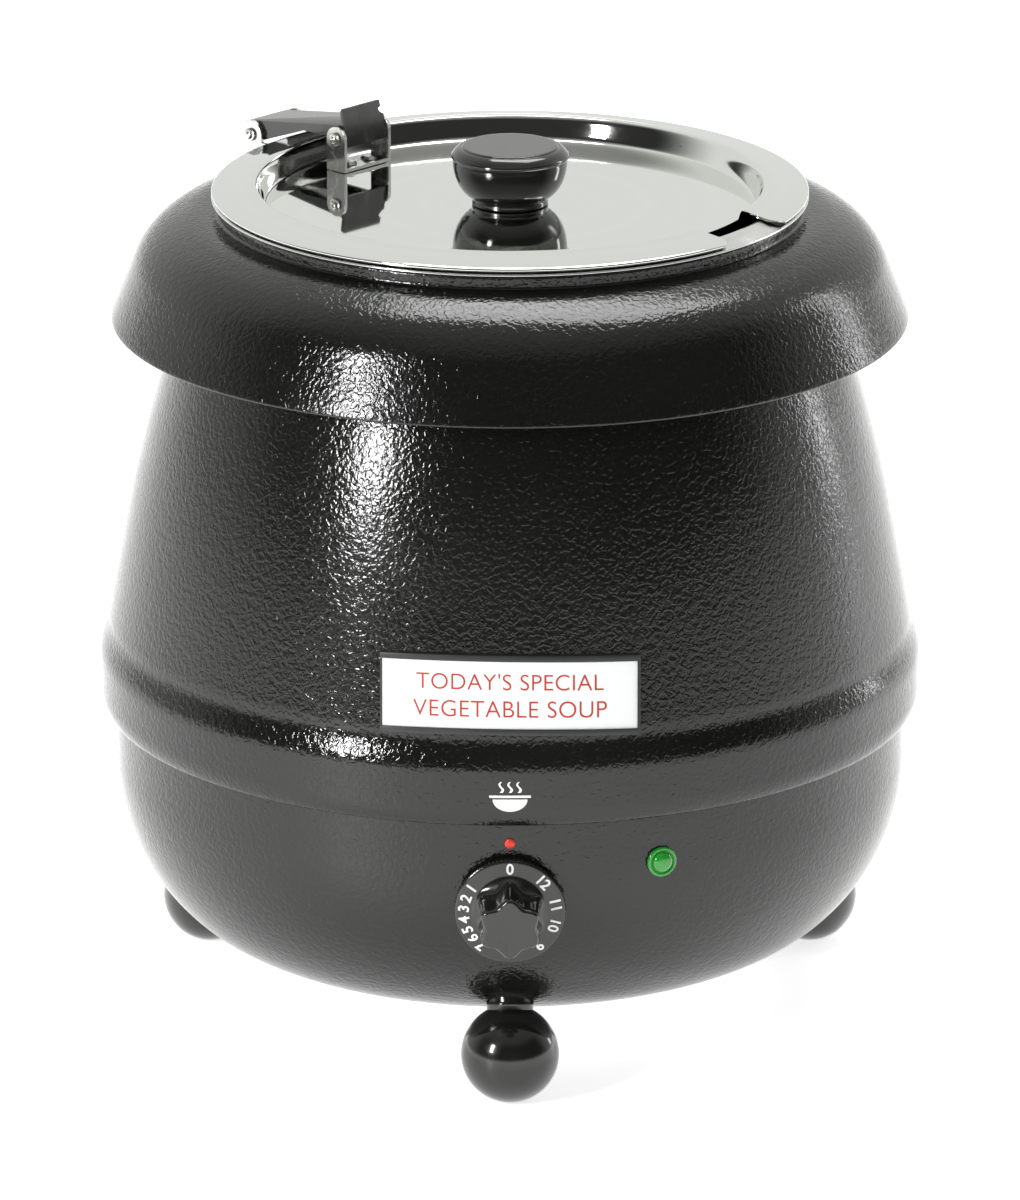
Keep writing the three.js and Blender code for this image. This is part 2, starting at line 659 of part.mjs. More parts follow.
const bushNut = () =>
  pipe(BUSH_RADIUS + GAP, BUSH_NUT, nutFront - BUSH_NUT_THICKNESS, nutFront, 12);

// Sensing bulb under the spreader, with the fine tube that runs below the element to the thermostat.
function sensorBulb() {
  const bulbZ = spreaderTopZ - SPREADER - GAP - 3.2;
  const under = elementZ - ELEMENT_TUBE - 4.6;
  const path = [
    [13, -148, dialZ - 13.6],
    [13, -147, dialZ - 22],
    [14, -137, 56],
    [18, -118, under],
    [26, -92, under],
    [27, -78, under + 1],
    [27, -70, bulbZ - 2],
    [27, -64, bulbZ],
    [27, -60, bulbZ],
  ];
  const bulb = rod(3, 0, 24, 8).rotateX(-Math.PI / 2).translate(27, -66, bulbZ);
  return join(tube(path, 1, 5, 18), bulb);
}

// ---- Pilot lamp, index and label ----------------------------------------------------------

// Green cap: a flange outside the bowl's wall, a low dome, and a stem through the wall.
function pilotLens() {
  const seat = BOWL_RADIUS + GAP;
  const flange = seat + 1.6;
  const lens = turned([
    [0, lampBack],
    [LAMP_STEM, lampBack],
    [LAMP_STEM, seat],
    [LAMP_RADIUS, seat],
    [LAMP_RADIUS, flange - 0.6],
    [LAMP_RADIUS - 0.6, flange],
    ...arc([0, flange], [LAMP_LENS_RADIUS, 2], 0, 90, 3),
  ], 16);
  return lens.rotateY(Math.PI / 2).translate(0, 0, lampZ);
}

const lampBack = BOWL_RADIUS - SHEET - 4; // of the cap's stem, inside the wall

function lampHolder() {
  const front = lampBack - GAP;
  const back = front - 16;
  const holder = turned([[0, back], [3.4, back], [4.8, back + 2], [4.8, front], [0, front]], 12);
  return holder.rotateY(Math.PI / 2).translate(0, 0, lampZ);
}

function lampClip() {
  const clipRadius = LAMP_STEM + 3;
  const front = bowlRadiusAt(lampZ - clipRadius) - SHEET - FACET_GAP;
  const clip = pipe(LAMP_STEM + GAP, clipRadius, front - 1.2, front, 12);
  return clip.rotateY(Math.PI / 2).translate(0, 0, lampZ);
}

const indexDot = () =>
  turned([[0, 0], [INDEX_RADIUS, 0], [INDEX_RADIUS, 0.5], [INDEX_RADIUS - 0.4, 0.8], [0, 0.8]], 12);

// Radius of the body's outside at a height on the cone.
function coneAt(z) {
  const path = bodyPath();
  const i = path.findIndex((point, k) => point[1] <= z && path[k + 1][1] > z);
  const share = (z - path[i][1]) / (path[i + 1][1] - path[i][1]);
  return path[i][0] + share * (path[i + 1][0] - path[i][0]);
}

// A ring that follows the cone between two heights, at two distances off its surface.
function coneRing(low, high, from, to) {
  const stations = Array.from({ length: 5 }, (_, i) => low + ((high - low) * i) / 4);
  const near = stations.map((z) => [coneAt(z) + from, z]);
  const far = stations.map((z) => [coneAt(z) + to, z]);
  return turned([...far, ...near.reverse(), far[0]]);
}

function labelHolder() {
  const low = labelZ - LABEL_HEIGHT / 2;
  const high = labelZ + LABEL_HEIGHT / 2;
  const half = LABEL_WIDTH / 2 + 1.5;
  const front = box([-half, half], [-400, 0], [0, 1000]);
  const end = box([half - 1.5, half], [-400, 0], [0, 1000]);
  const back = coneRing(low - LABEL_RAIL, high + LABEL_RAIL, GAP, GAP + 0.8);
  const rails = [
    coneRing(low - LABEL_RAIL, low - 1, GAP, GAP + 2.2),
    coneRing(high + 1, high + LABEL_RAIL, GAP, GAP + 2.2),
    coneRing(low - 1.5, low, GAP + 1.7, GAP + 2.2),
    coneRing(high, high + 1.5, GAP + 1.7, GAP + 2.2),
  ];
  const stop = coneRing(low - LABEL_RAIL, high + LABEL_RAIL, GAP, GAP + 2.2);
  return join(meet(join(back, ...rails), front), meet(stop, end));
}

function labelCard() {
  const low = labelZ - LABEL_HEIGHT / 2 - 0.7;
  const high = labelZ + LABEL_HEIGHT / 2 + 0.7;
  const start = GAP + 0.8 + 0.15;
  const half = LABEL_WIDTH / 2 - GAP;
  return meet(coneRing(low, high, start, start + 0.5), box([-half, half], [-400, 0], [0, 1000]));
}

// ---- Cord inlet and wiring ----------------------------------------------------------------

function cableGland() {
  const seat = BOWL_RADIUS + 0.7;
  const gland = turned([
    [CORD_HOLE, seat - 14],
    [GLAND_THREAD, seat - 14],
    [GLAND_THREAD, seat],
    [GLAND_RADIUS, seat],
    [GLAND_RADIUS, seat + 5],
    [GLAND_RADIUS - 1, seat + 6],
    [GLAND_RADIUS - 1, seat + 12],
    ...arc([CORD_HOLE + 0.8, seat + 12], [GLAND_RADIUS - 1.8 - CORD_HOLE, GLAND_LENGTH - 12], 0, 90, 3),
    [CORD_HOLE, seat + GLAND_LENGTH - 0.8],
    [CORD_HOLE, seat - 14],
  ], 16);
  return gland.rotateY(Math.PI / 2).translate(0, 0, glandZ);
}

function glandNut() {
  const nutRadius = 12;
  const front = bowlRadiusAt(glandZ - nutRadius) - SHEET - FACET_GAP;
  const nut = pipe(GLAND_THREAD + GAP, nutRadius, front - 4, front, 12);
  return nut.rotateY(Math.PI / 2).translate(0, 0, glandZ);
}

function terminalBlock() {
  const bottom = BOWL_BOTTOM_Z;
  const block = box([-22, 22], [56, 72], [bottom, bottom + 13]);
  const wells = [-14, 0, 14].map((x) => rod(2.6, bottom + 5, bottom + 20, 8).translate(x, 64, 0));
  return cut(block, ...wells);
}

// Leads inside the base, each a short insulated wire.
const leads = {
  lead_inlet: [
    [0, BOWL_RADIUS - 18, glandZ],
    [0, 132, glandZ - 9],
    [4, 134, 60],
    [6, 110, 42],
    [4, 84, 36],
    [2, 74, 35],
  ],
  lead_element: [
    [-14, 73.5, 35],
    [-14, 79, 31.6],
    [-13.9, 82.7, 34],
    [-13.9, 82.7, 39],
  ],
  lead_thermostat: [
    [16, 54, 36],
    [40, 0, 40],
    [44, -60, 42],
    [34, -112, 50],
    [20, -129.5, dialZ - 26.8],
    [10, -130, dialZ - 2.8],
  ],
};

// ---- Insert pot ---------------------------------------------------------------------------

function insertPot() {
  const inside = POT_RADIUS - STAINLESS;
  const floor = potBottomZ + STAINLESS;
  const corner = [POT_RADIUS - POT_CORNER, potBottomZ + POT_CORNER];
  const innerRadius = POT_CORNER - STAINLESS;
  return turned([
    [0, potBottomZ],
    ...arc(corner, [POT_CORNER, POT_CORNER], -90, 0, 3),
    [POT_RADIUS, rimSeatZ],
    [rimRadius, rimSeatZ],
    [rimRadius, rimEdgeZ],
    [POT_RADIUS + 1, mouthZ],
    [inside + 0.6, mouthZ],
    [inside, mouthZ - 0.8],
    ...arc(corner, [innerRadius, innerRadius], 0, -90, 3),
    [0, floor],
  ]);
}

// ---- Lid ----------------------------------------------------------------------------------

function lidShell() {
  const step = [0, 0.25, 0.5, 0.75, 1].map((share) => [
    discRadius + LID_STEP * share,
    discZ + LID_RECESS * (0.5 - 0.5 * Math.cos(Math.PI * share)),
  ]);
  const hem = rimRadius - lidHemWidth;
  const top = [
    ...step,
    [hem, lidEdgeZ + 0.3],
    [rimRadius - 0.4, lidEdgeZ - 0.2],
    [rimRadius, lidEdgeZ - LID_HEM / 2],
  ];
  const under = step.map(([r, z]) => [r + 0.7, z - LID_SHEET]);
  const lid = turned([
    [0, discZ - LID_SHEET],
    ...under,
    [hem - 1, lidEdgeZ - 0.6],
    [hem, lidEdgeZ - LID_HEM],
    [rimRadius - 0.4, lidEdgeZ - LID_HEM],
    ...top.reverse(),
    [0, discZ],
  ]);
  return cut(lid, ladleSlot(), rod(LID_SCREW + GAP, discZ - 10, discZ + 10, 12), ...lidRivetHoles());
}

// The slot's outline: straight sides that open out in round corners at the rim.
function ladleSlot() {
  const half = SLOT_WIDTH / 2;
  const inner = crestRadius - 2;
  const mouth = rimRadius - SLOT_FLARE - 2;
  const shape = new THREE.Shape();
  shape.moveTo(inner, -half);
  shape.lineTo(mouth, -half);
  shape.quadraticCurveTo(rimRadius, -half, rimRadius, -half - SLOT_FLARE);
  shape.lineTo(rimRadius + 12, -half - SLOT_FLARE);
  shape.lineTo(rimRadius + 12, half + SLOT_FLARE);
  shape.lineTo(rimRadius, half + SLOT_FLARE);
  shape.quadraticCurveTo(rimRadius, half, mouth, half);
  shape.lineTo(inner, half);
  return slab(shape, discZ - 20, crestZ + 20, 5).rotateZ(degrees(SLOT_AZIMUTH));
}

function lidRivetHoles() {
  return [-lidRivetSpread, lidRivetSpread].map((y) =>
    rod(SCREW_RADIUS + GAP, discZ - 10, discZ + 10, 10)
      .translate(frontPivotR, y, 0)
      .rotateZ(degrees(HINGE_AZIMUTH)),
  );
}

// Phenolic knob: a short neck, a bowl-shaped underside, a rounded ring and a flat top.
function lidKnob() {
  const foot = discZ + GAP;
  const top = foot + LID_KNOB_HEIGHT;
  const ring = top - LID_KNOB_RING;
  const neckTop = foot + LID_KNOB_NECK_HEIGHT;
  const face = LID_KNOB_RADIUS - 4.2;
  const bowlFoot = [LID_KNOB_NECK + 0.3, neckTop];
  const bowlCorner = [LID_KNOB_RADIUS - 0.6, neckTop + 6];
  const belly = bend(bowlFoot, bowlCorner, [LID_KNOB_RADIUS - 0.3, ring], 5);
  const knob = turned([
    [0, foot],
    [LID_KNOB_NECK, foot],
    [LID_KNOB_NECK, neckTop],
    ...belly,
    ...arc([face, ring + 0.5], [LID_KNOB_RADIUS - face, LID_KNOB_RING - 0.7], 0, 90, 3),
    [face - 0.4, top],
    [0, top],
  ], 24);
  return cut(knob, rod(LID_SCREW + GAP, foot - 1, foot + 12, 10));
}

function lidScrew() {
  const seat = discZ - LID_SHEET - GAP - 1 - GAP;
  return turned([
    [0, seat - 3],
    [LID_SCREW + 1, seat - 3],
    [LID_SCREW + 2.5, seat - 1.4],
    [LID_SCREW + 2.5, seat],
    [LID_SCREW, seat],
    [LID_SCREW, seat + 13],
    [0, seat + 13],
  ], 10);
}

function lidWasher() {
  const top = discZ - LID_SHEET - GAP;
  return pipe(LID_SCREW + GAP, 8, top - 1, top, 14);
}

// ---- Hinge, in a radial frame whose +X points outward ----------------------------------------

const lidRivetSpread = 6;
const webRadius = rimRadius + GAP;

// Side outline of the rear ears: round over the pin, flaring down to just above the shoulder.
function rearEarShape() {
  const outer = rearPivotR + REAR_EAR_RADIUS + 1.8;
  const above = (radius) => shoulderHeight(radius) + BRACKET_CLEARANCE;
  const shape = new THREE.Shape();
  shape.moveTo(webRadius, above(webRadius));
  shape.lineTo(rearPivotR - 3, above(rearPivotR - 3));
  shape.lineTo(outer, above(outer));
  shape.lineTo(rearPivotR + REAR_EAR_RADIUS, rearPivotZ);
  shape.absarc(rearPivotR, rearPivotZ, REAR_EAR_RADIUS, 0, Math.PI, false);
  shape.lineTo(rearPivotR - REAR_EAR_RADIUS, rimEdgeZ);
  shape.lineTo(webRadius, rimEdgeZ);
  return shape;
}

// Channel bracket welded to the edge of the insert's rim: a web and two ears round the rear pin.
function hingeBracket() {
  const ears = [-1, 1].map((side) => plate(rearEarShape(), earInner, earOuter).scale(1, side, 1));
  const foot = shoulderHeight(webRadius) + BRACKET_CLEARANCE;
  const web = box([webRadius, webRadius + EAR_SHEET], [-earOuter, earOuter], [foot, rimEdgeZ]);
  return cut(join(...ears, web), pinHole(rearPivotR, rearPivotZ));
}

const pinHole = (x, z) =>
  rod(PIN_RADIUS + PIN_CLEARANCE, -30, 30, 10).rotateX(Math.PI / 2).translate(x, 0, z);

// The link in its own frame: origin at the rear pivot, +X towards the front pivot, +Z above it.
function hingeLink() {
  const half = LINK_WIDTH / 2;
  const front = linkLength + LINK_NOSE;
  const side = new THREE.Shape();
  side.moveTo(-3.4, -1.6);
  side.absarc(0, 0, 3.8, degrees(205), degrees(270), false);
  side.lineTo(7, -2.4);
  side.lineTo(30, 2.6);
  side.lineTo(linkLength - 4.2, 0.6);
  side.absarc(linkLength, 0, 3.7, degrees(200), degrees(330), false);
  side.lineTo(front, 0);
  side.lineTo(front, LINK_TOP + LINK_SHEET);
  side.lineTo(-3.4, LINK_TOP + LINK_SHEET);
  side.lineTo(-4.6, LINK_TOP - 1);
  const flanges = [-1, 1].map((s) => plate(side, half - LINK_SHEET, half).scale(1, s, 1));
  const top = box([-3, front], [-half, half], [LINK_TOP, LINK_TOP + LINK_SHEET]);
  const tab = slab(tabShape(half), front - LINK_SHEET, front).rotateX(Math.PI / 2).rotateZ(Math.PI / 2);
  return cut(join(...flanges, top, tab), pinHole(0, 0), pinHole(linkLength, 0));
}

// End plate of the link, across its width: rounded corners, and a notch in its right-hand edge.
function tabShape(half) {
  const round = 1;
  const notch = 6.2;
  const shape = new THREE.Shape();
  shape.moveTo(-half, -LINK_TAB_DROP + round);
  shape.lineTo(-half + round, -LINK_TAB_DROP);
  shape.lineTo(half - round, -LINK_TAB_DROP);
  shape.lineTo(half, -LINK_TAB_DROP + round);
  shape.lineTo(half, notch);
  shape.quadraticCurveTo(half - 2 * TAB_NOTCH, notch + 1, half - 2 * TAB_NOTCH, notch + 3);
  shape.lineTo(half - TAB_NOTCH, notch + 3.4);
  shape.lineTo(half - TAB_NOTCH - round / 2, LINK_TAB);
  shape.lineTo(-half + round, LINK_TAB);
  shape.lineTo(-half, LINK_TAB - round);
  return shape;
}

// U-shaped bracket on the lid's disc: a base plate and two ears round the front pivot.
function lidBracket() {
  const bottom = discZ + GAP;
  const ear = new THREE.Shape();
  ear.moveTo(frontPivotR - EAR_RADIUS, bottom);
  ear.lineTo(frontPivotR + EAR_RADIUS, bottom);
  ear.lineTo(frontPivotR + EAR_RADIUS, frontPivotZ);
  ear.absarc(frontPivotR, frontPivotZ, EAR_RADIUS, 0, Math.PI, false);
  const ears = [-1, 1].map((s) => plate(ear, earInner, earOuter).scale(1, s, 1));
  const along = [frontPivotR - EAR_RADIUS, frontPivotR + EAR_RADIUS];
  const base = box(along, [-earOuter, earOuter], [bottom, bottom + EAR_SHEET]);
  const rivetHoles = [-lidRivetSpread, lidRivetSpread].map((y) =>
    rod(SCREW_RADIUS + GAP, bottom - 5, bottom + 5, 10).translate(frontPivotR, y, 0),
  );
  return cut(join(...ears, base), pinHole(frontPivotR, frontPivotZ), ...rivetHoles);
}

// Shouldered pin along Y with a rivet head outside each ear.
function hingePin() {
  const end = earOuter + GAP;
  const side = [
    [PIN_RADIUS, end],
    [PIN_HEAD, end],
    [PIN_HEAD, end + 1.2],
    [PIN_HEAD - 0.8, end + 2.2],
    [0, end + 2.2],
  ];
  const mirrored = side.map(([r, z]) => [r, -z]).reverse();
  return turned([...mirrored, ...side], 10).rotateX(Math.PI / 2);
}

// Rivet along Z through the lid and its bracket, with a head on both sides.
function lidRivet() {
  const low = discZ - LID_SHEET - GAP;
  const high = discZ + GAP + EAR_SHEET + GAP;
  const head = SCREW_HEAD - 0.4;
  return turned([
    [0, low - 1.2],
    [head - 1, low - 1.2],
    [head, low],
    [SCREW_RADIUS, low],
    [SCREW_RADIUS, high],
    [head, high],
    [head - 1, high + 1.2],
    [0, high + 1.2],
  ], 8);
}

// ---- Assembly -----------------------------------------------------------------------------

add(kettle, "bowl_shell", bowlShell(), POWDER_BLACK);
add(kettle, "body_shell", spun(bodyPath(), SHEET), POWDER_BLACK);
add(kettle, "collar", collarShell(), POWDER_BLACK);
add(kettle, "support_ring", supportRing(), GALVANISED);
add(kettle, "base_plate", basePlate(), GALVANISED);
add(kettle, "water_pan", waterPan(), STEEL);
add(kettle, "heat_spreader", heatSpreader(), ALUMINIUM);
add(kettle, "heating_element", heatingElement(), COPPER);
add(kettle, "clamp_plate", clampPlate(), GALVANISED);
add(kettle, "clamp_nut", clampNut(), GALVANISED);
add(kettle, "thermal_cutout", thermalCutout(), IVORY);
add(kettle, "sensor_bulb", sensorBulb(), COPPER);
add(kettle, "terminal_block", terminalBlock(), IVORY);
for (const [name, path] of Object.entries(leads)) {
  add(kettle, name, tube(path, 1.3, 6, 12), IVORY);
}

for (const [name, azimuth] of Object.entries(FOOT_AZIMUTHS)) {
  const frame = radialFrame(azimuth);
  add(frame, "foot_" + name, foot(), BLACK_PLASTIC);
  add(frame, "foot_bolt_" + name, footBolt(), GALVANISED);
}

bracketAzimuths.forEach((azimuth, i) => {
  const frame = radialFrame(azimuth);
  add(frame, "casing_bracket_" + (i + 1), casingBracket(), GALVANISED);
  add(frame, "casing_screw_" + (i + 1), casingScrew(), GALVANISED);
});

baseScrewAzimuths.forEach((azimuth, i) => {
  add(radialFrame(azimuth), "base_screw_" + (i + 1), baseScrew(), GALVANISED);
});

add(kettle, "control_knob", alongDial(controlKnob()), BLACK_PLASTIC);
add(kettle, "thermostat_shaft", alongDial(thermostatShaft()), GALVANISED);
add(kettle, "thermostat_body", alongDial(thermostatBody()), IVORY);
add(kettle, "thermostat_nut", alongDial(bushNut()), GALVANISED);

const lamp = radialFrame(LAMP_ANGLE - 90);
add(lamp, "pilot_lens", pilotLens(), GREEN);
add(lamp, "pilot_lamp", lampHolder(), IVORY);
add(lamp, "pilot_lamp_clip", lampClip(), GALVANISED);

const index = add(kettle, "index_dot", indexDot(), RED);
index.position.set(0, -(BOWL_RADIUS + GAP), indexZ);
index.rotation.x = Math.PI / 2;

add(kettle, "label_holder", labelHolder(), BLACK_PLASTIC);
add(kettle, "label_card", labelCard(), WHITE_CARD);

const back = radialFrame(90);
add(back, "cable_gland", cableGland(), BLACK_PLASTIC);
add(back, "gland_nut", glandNut(), BLACK_PLASTIC);

add(kettle, "insert_pot", insertPot(), STEEL);
add(kettle, "lid", lidShell(), STEEL);
add(kettle, "lid_knob", lidKnob(), BLACK_PLASTIC);
add(kettle, "lid_knob_screw", lidScrew(), GALVANISED);
add(kettle, "lid_knob_washer", lidWasher(), STEEL);

const hinge = radialFrame(HINGE_AZIMUTH);
add(hinge, "hinge_bracket", hingeBracket(), STEEL);
add(hinge, "lid_bracket", lidBracket(), STEEL);
const rearPin = add(hinge, "hinge_pin_rear", hingePin(), STEEL);
rearPin.position.set(rearPivotR, 0, rearPivotZ);
const frontPin = add(hinge, "hinge_pin_front", hingePin(), STEEL);
frontPin.position.set(frontPivotR, 0, frontPivotZ);
const link = add(hinge, "hinge_link", hingeLink(), BLACK_STEEL);
link.position.set(rearPivotR, 0, rearPivotZ);
link.rotation.set(0, linkSlope, Math.PI);
[-lidRivetSpread, lidRivetSpread].forEach((y, i) => {
  const rivet = add(hinge, "lid_rivet_" + (i + 1), lidRivet(), STEEL);
  rivet.position.set(frontPivotR, y, 0);
});

export default kettle;
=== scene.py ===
import math

import bmesh
import bpy
import numpy as np
from mathutils import Euler, Matrix, Vector


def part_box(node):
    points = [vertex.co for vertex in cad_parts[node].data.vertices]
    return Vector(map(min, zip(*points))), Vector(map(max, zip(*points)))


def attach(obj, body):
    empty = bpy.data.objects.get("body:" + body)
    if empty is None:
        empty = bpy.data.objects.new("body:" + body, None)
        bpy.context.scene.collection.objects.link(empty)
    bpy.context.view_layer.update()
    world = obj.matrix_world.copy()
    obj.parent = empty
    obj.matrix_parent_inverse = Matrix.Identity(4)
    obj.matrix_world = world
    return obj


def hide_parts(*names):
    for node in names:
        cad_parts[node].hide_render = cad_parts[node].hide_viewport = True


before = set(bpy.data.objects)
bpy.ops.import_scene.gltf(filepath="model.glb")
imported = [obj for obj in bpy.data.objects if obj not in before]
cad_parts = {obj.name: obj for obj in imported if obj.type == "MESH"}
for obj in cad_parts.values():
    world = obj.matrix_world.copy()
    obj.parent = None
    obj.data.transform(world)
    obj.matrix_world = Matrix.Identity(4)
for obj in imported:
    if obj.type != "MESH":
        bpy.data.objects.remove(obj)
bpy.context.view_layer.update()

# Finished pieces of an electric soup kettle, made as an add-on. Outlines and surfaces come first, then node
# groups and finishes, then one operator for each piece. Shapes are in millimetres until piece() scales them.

bl_info = {
    "name": "Soup Kettle",
    "version": (1, 0, 0),
    "blender": (4, 5, 0),
    "location": "View3D > Sidebar > Kettle",
    "description": "Builds the finished pieces of an electric soup kettle round its CAD frame",
    "category": "Object",
}

MM = 0.001  # the shapes below are worked out in millimetres
ROUND = 256  # segments round the big turned pieces
SMALL_ROUND = 96
SHARP = math.radians(35)  # edges that turn by more than this stay crisp
GAP = 0.3  # between pieces that meet

HINGE_AZIMUTH = 137
SLOT_AZIMUTH = -35
LAMP_AZIMUTH = -90 + 21.7
FOOT_AZIMUTHS = {"front": -90, "left": 157.5, "right": 22.5}


# ---- Places read from the CAD frame --------------------------------------------------------

def low(node, axis=2):
    """Lowest coordinate of a CAD node along an axis, in millimetres."""
    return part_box(node)[0][axis] / MM


def high(node, axis=2):
    """Highest coordinate of a CAD node along an axis, in millimetres."""
    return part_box(node)[1][axis] / MM


def reach(node):
    """Radius of a turned CAD node, half of its box along X."""
    return (high(node, 0) - low(node, 0)) / 2


BAND_RADIUS = reach("body_shell")
BAND_STANDOUT = 6.2  # of the band beyond the bowl's wall
BOWL_RADIUS = BAND_RADIUS - BAND_STANDOUT
COLLAR_RADIUS = reach("collar")
RIM_RADIUS = reach("insert_pot")
BOWL_BOTTOM = low("bowl_shell")
BOWL_TOP = high("bowl_shell")
BAND_FOOT = low("body_shell")
BODY_TOP = high("body_shell")
COLLAR_TOP = high("collar")
MOUTH = high("insert_pot")
LID_TOP = high("lid")
KNOB_FOOT = low("lid_knob")
KNOB_TOP = high("lid_knob")
DISC = KNOB_FOOT - GAP  # top of the lid's flat disc
DIAL_DROP = 38.2  # of the dial's axis below the bowl's top
DIAL_PLACE = (0, -(BOWL_RADIUS + 1), BOWL_TOP - DIAL_DROP)
DIAL_TILT = 3
LAMP_HEIGHT = (low("pilot_lens") + high("pilot_lens")) / 2
INDEX_HEIGHT = (low("index_dot") + high("index_dot")) / 2
LABEL_LOW = low("label_holder")
LABEL_HIGH = high("label_holder")
LABEL_END = 1.5  # of the holder past each end of its card
LABEL_HALF = reach("label_holder") - LABEL_END
GLAND_HEIGHT = (low("cable_gland") + high("cable_gland")) / 2
GLAND_END = high("cable_gland", 1)


# ---- Sizes and colours that a user may change ----------------------------------------------

class KettleSizes(bpy.types.PropertyGroup):
    """Sizes of the pieces that are drawn round the CAD frame."""

    sheet: bpy.props.FloatProperty(
        name="Casing sheet", description="Thickness of the coated casing",
        default=1.5 * MM, min=0.5 * MM, max=3 * MM, unit="LENGTH", subtype="DISTANCE")
    stainless: bpy.props.FloatProperty(
        name="Stainless sheet", description="Thickness of the insert's wall",
        default=1.2 * MM, min=0.5 * MM, max=2 * MM, unit="LENGTH", subtype="DISTANCE")
    numeral_height: bpy.props.FloatProperty(
        name="Numerals", description="Height of the numerals on the dial",
        default=4.6 * MM, min=2 * MM, max=6 * MM, unit="LENGTH", subtype="DISTANCE")
    letter_height: bpy.props.FloatProperty(
        name="Letters", description="Height of the letters on the label card",
        default=6.6 * MM, min=3 * MM, max=9 * MM, unit="LENGTH", subtype="DISTANCE")
    first_line: bpy.props.StringProperty(
        name="First line", description="Upper line on the label card", default="TODAY'S SPECIAL")
    second_line: bpy.props.StringProperty(
        name="Second line", description="Lower line on the label card", default="VEGETABLE SOUP")
    peel: bpy.props.FloatProperty(
        name="Coat texture", description="Depth of the powder coat's texture",
        default=0.09 * MM, min=0, max=1 * MM, unit="LENGTH", subtype="DISTANCE")
    floor: bpy.props.FloatProperty(
        name="Floor", description="Width of the floor",
        default=24, min=4, max=60, unit="LENGTH", subtype="DISTANCE")


class KettleColours(bpy.types.PropertyGroup):
    """Colours of the kettle's finishes."""

    coat: bpy.props.FloatVectorProperty(
        name="Powder coat", description="Colour of the casing",
        default=(0.0065, 0.0065, 0.006), min=0, max=1, size=3, subtype="COLOR")
    phenolic: bpy.props.FloatVectorProperty(
        name="Phenolic", description="Colour of the knobs and feet",
        default=(0.0085, 0.0085, 0.008), min=0, max=1, size=3, subtype="COLOR")
    letters: bpy.props.FloatVectorProperty(
        name="Letters", description="Colour of the letters on the card",
        default=(0.48, 0.032, 0.016), min=0, max=1, size=3, subtype="COLOR")
    lens: bpy.props.FloatVectorProperty(
        name="Pilot lamp", description="Colour of the pilot lamp's cap",
        default=(0.012, 0.24, 0.018), min=0, max=1, size=3, subtype="COLOR")
    index: bpy.props.FloatVectorProperty(
        name="Index", description="Colour of the dot over the dial",
        default=(0.62, 0.035, 0.02), min=0, max=1, size=3, subtype="COLOR")


# ---- Outlines, as arrays of (radius, height) in millimetres ---------------------------------

def arc(centre, radii, start, end, steps):
    """Centre plus the radii times cosine and sine of an angle that runs from start to end."""
    angle = np.radians(np.linspace(start, end, steps + 1))
    return np.column_stack((centre[0] + radii[0] * np.cos(angle), centre[1] + radii[1] * np.sin(angle)))


def bend(p, corner, q, steps):
    """Quadratic curve: p, corner and q weighted by (1-t) squared, 2t(1-t) and t squared."""
    t = np.linspace(0, 1, steps + 1)[:, None]
    return (1 - t) ** 2 * np.array(p) + 2 * t * (1 - t) * np.array(corner) + t ** 2 * np.array(q)


def line(p, q, steps=1):
    """Straight from p to q in equal steps."""
    return np.linspace(p, q, steps + 1)


def chain(*runs):
    """The runs one after another, without points that repeat the one before."""
    points = np.vstack([np.atleast_2d(np.array(run, dtype=float)) for run in runs])
    moved = np.linalg.norm(np.diff(points, axis=0), axis=1) > 1e-4
    return points[np.concatenate(([True], moved))]


def rounded(points, radius, steps=4):
    """An open outline whose inner corners are each replaced by a quadratic bend."""
    points = np.array(points, dtype=float)
    runs = [points[:1]]
    for before, corner, after in zip(points[:-2], points[1:-1], points[2:]):
        into = (before - corner) / np.linalg.norm(before - corner)
        out = (after - corner) / np.linalg.norm(after - corner)
        cut = min(radius, np.linalg.norm(before - corner) / 2.1, np.linalg.norm(after - corner) / 2.1)
        runs.append(bend(corner + into * cut, corner, corner + out * cut, steps))
    return chain(*runs, points[-1:])


def moved_left(path, distance):
    """Each point moved by the distance along the path's left-hand normal."""
    along = np.gradient(path, axis=0)
    along /= np.linalg.norm(along, axis=1)[:, None]
    return path + distance * np.column_stack((-along[:, 1], along[:, 0]))


def walled(path, wall, steps=6):
    """Closed outline of a sheet: the path, a half-round edge, its left-hand offset, a half-round edge."""
    other = moved_left(path, wall)
    runs = [path]
    for here, there in ((path[-1], other[-1]), (other[0], path[0])):
        middle = (here + there) / 2
        start = here - middle
        angle = np.linspace(0, np.pi, steps + 1)[1:-1, None]
        across = np.array((-start[1], start[0]))
        runs.append(middle + start * np.cos(angle) + across * np.sin(angle))
    return chain(runs[0], runs[1], other[::-1], runs[2])


# ---- Surfaces -------------------------------------------------------------------------------

def grid_faces(rows, columns, loop_rows, loop_columns):
    """Quads between neighbouring rows and columns of a grid whose points are numbered row by row."""
    i = np.arange(rows if loop_rows else rows - 1)[:, None]
    j = np.arange(columns if loop_columns else columns - 1)[None, :]
    i2, j2 = (i + 1) % rows, (j + 1) % columns
    quads = np.stack((i * columns + j, i * columns + j2, i2 * columns + j2, i2 * columns + j), axis=-1)
    return quads.reshape(-1, 4)


def around_axis(r, z, angle):
    """x = r cos a, y = r sin a, z: a grid of points, one row for each radius and height."""
    return np.stack(np.broadcast_arrays(r * np.cos(angle), r * np.sin(angle), z), axis=-1)


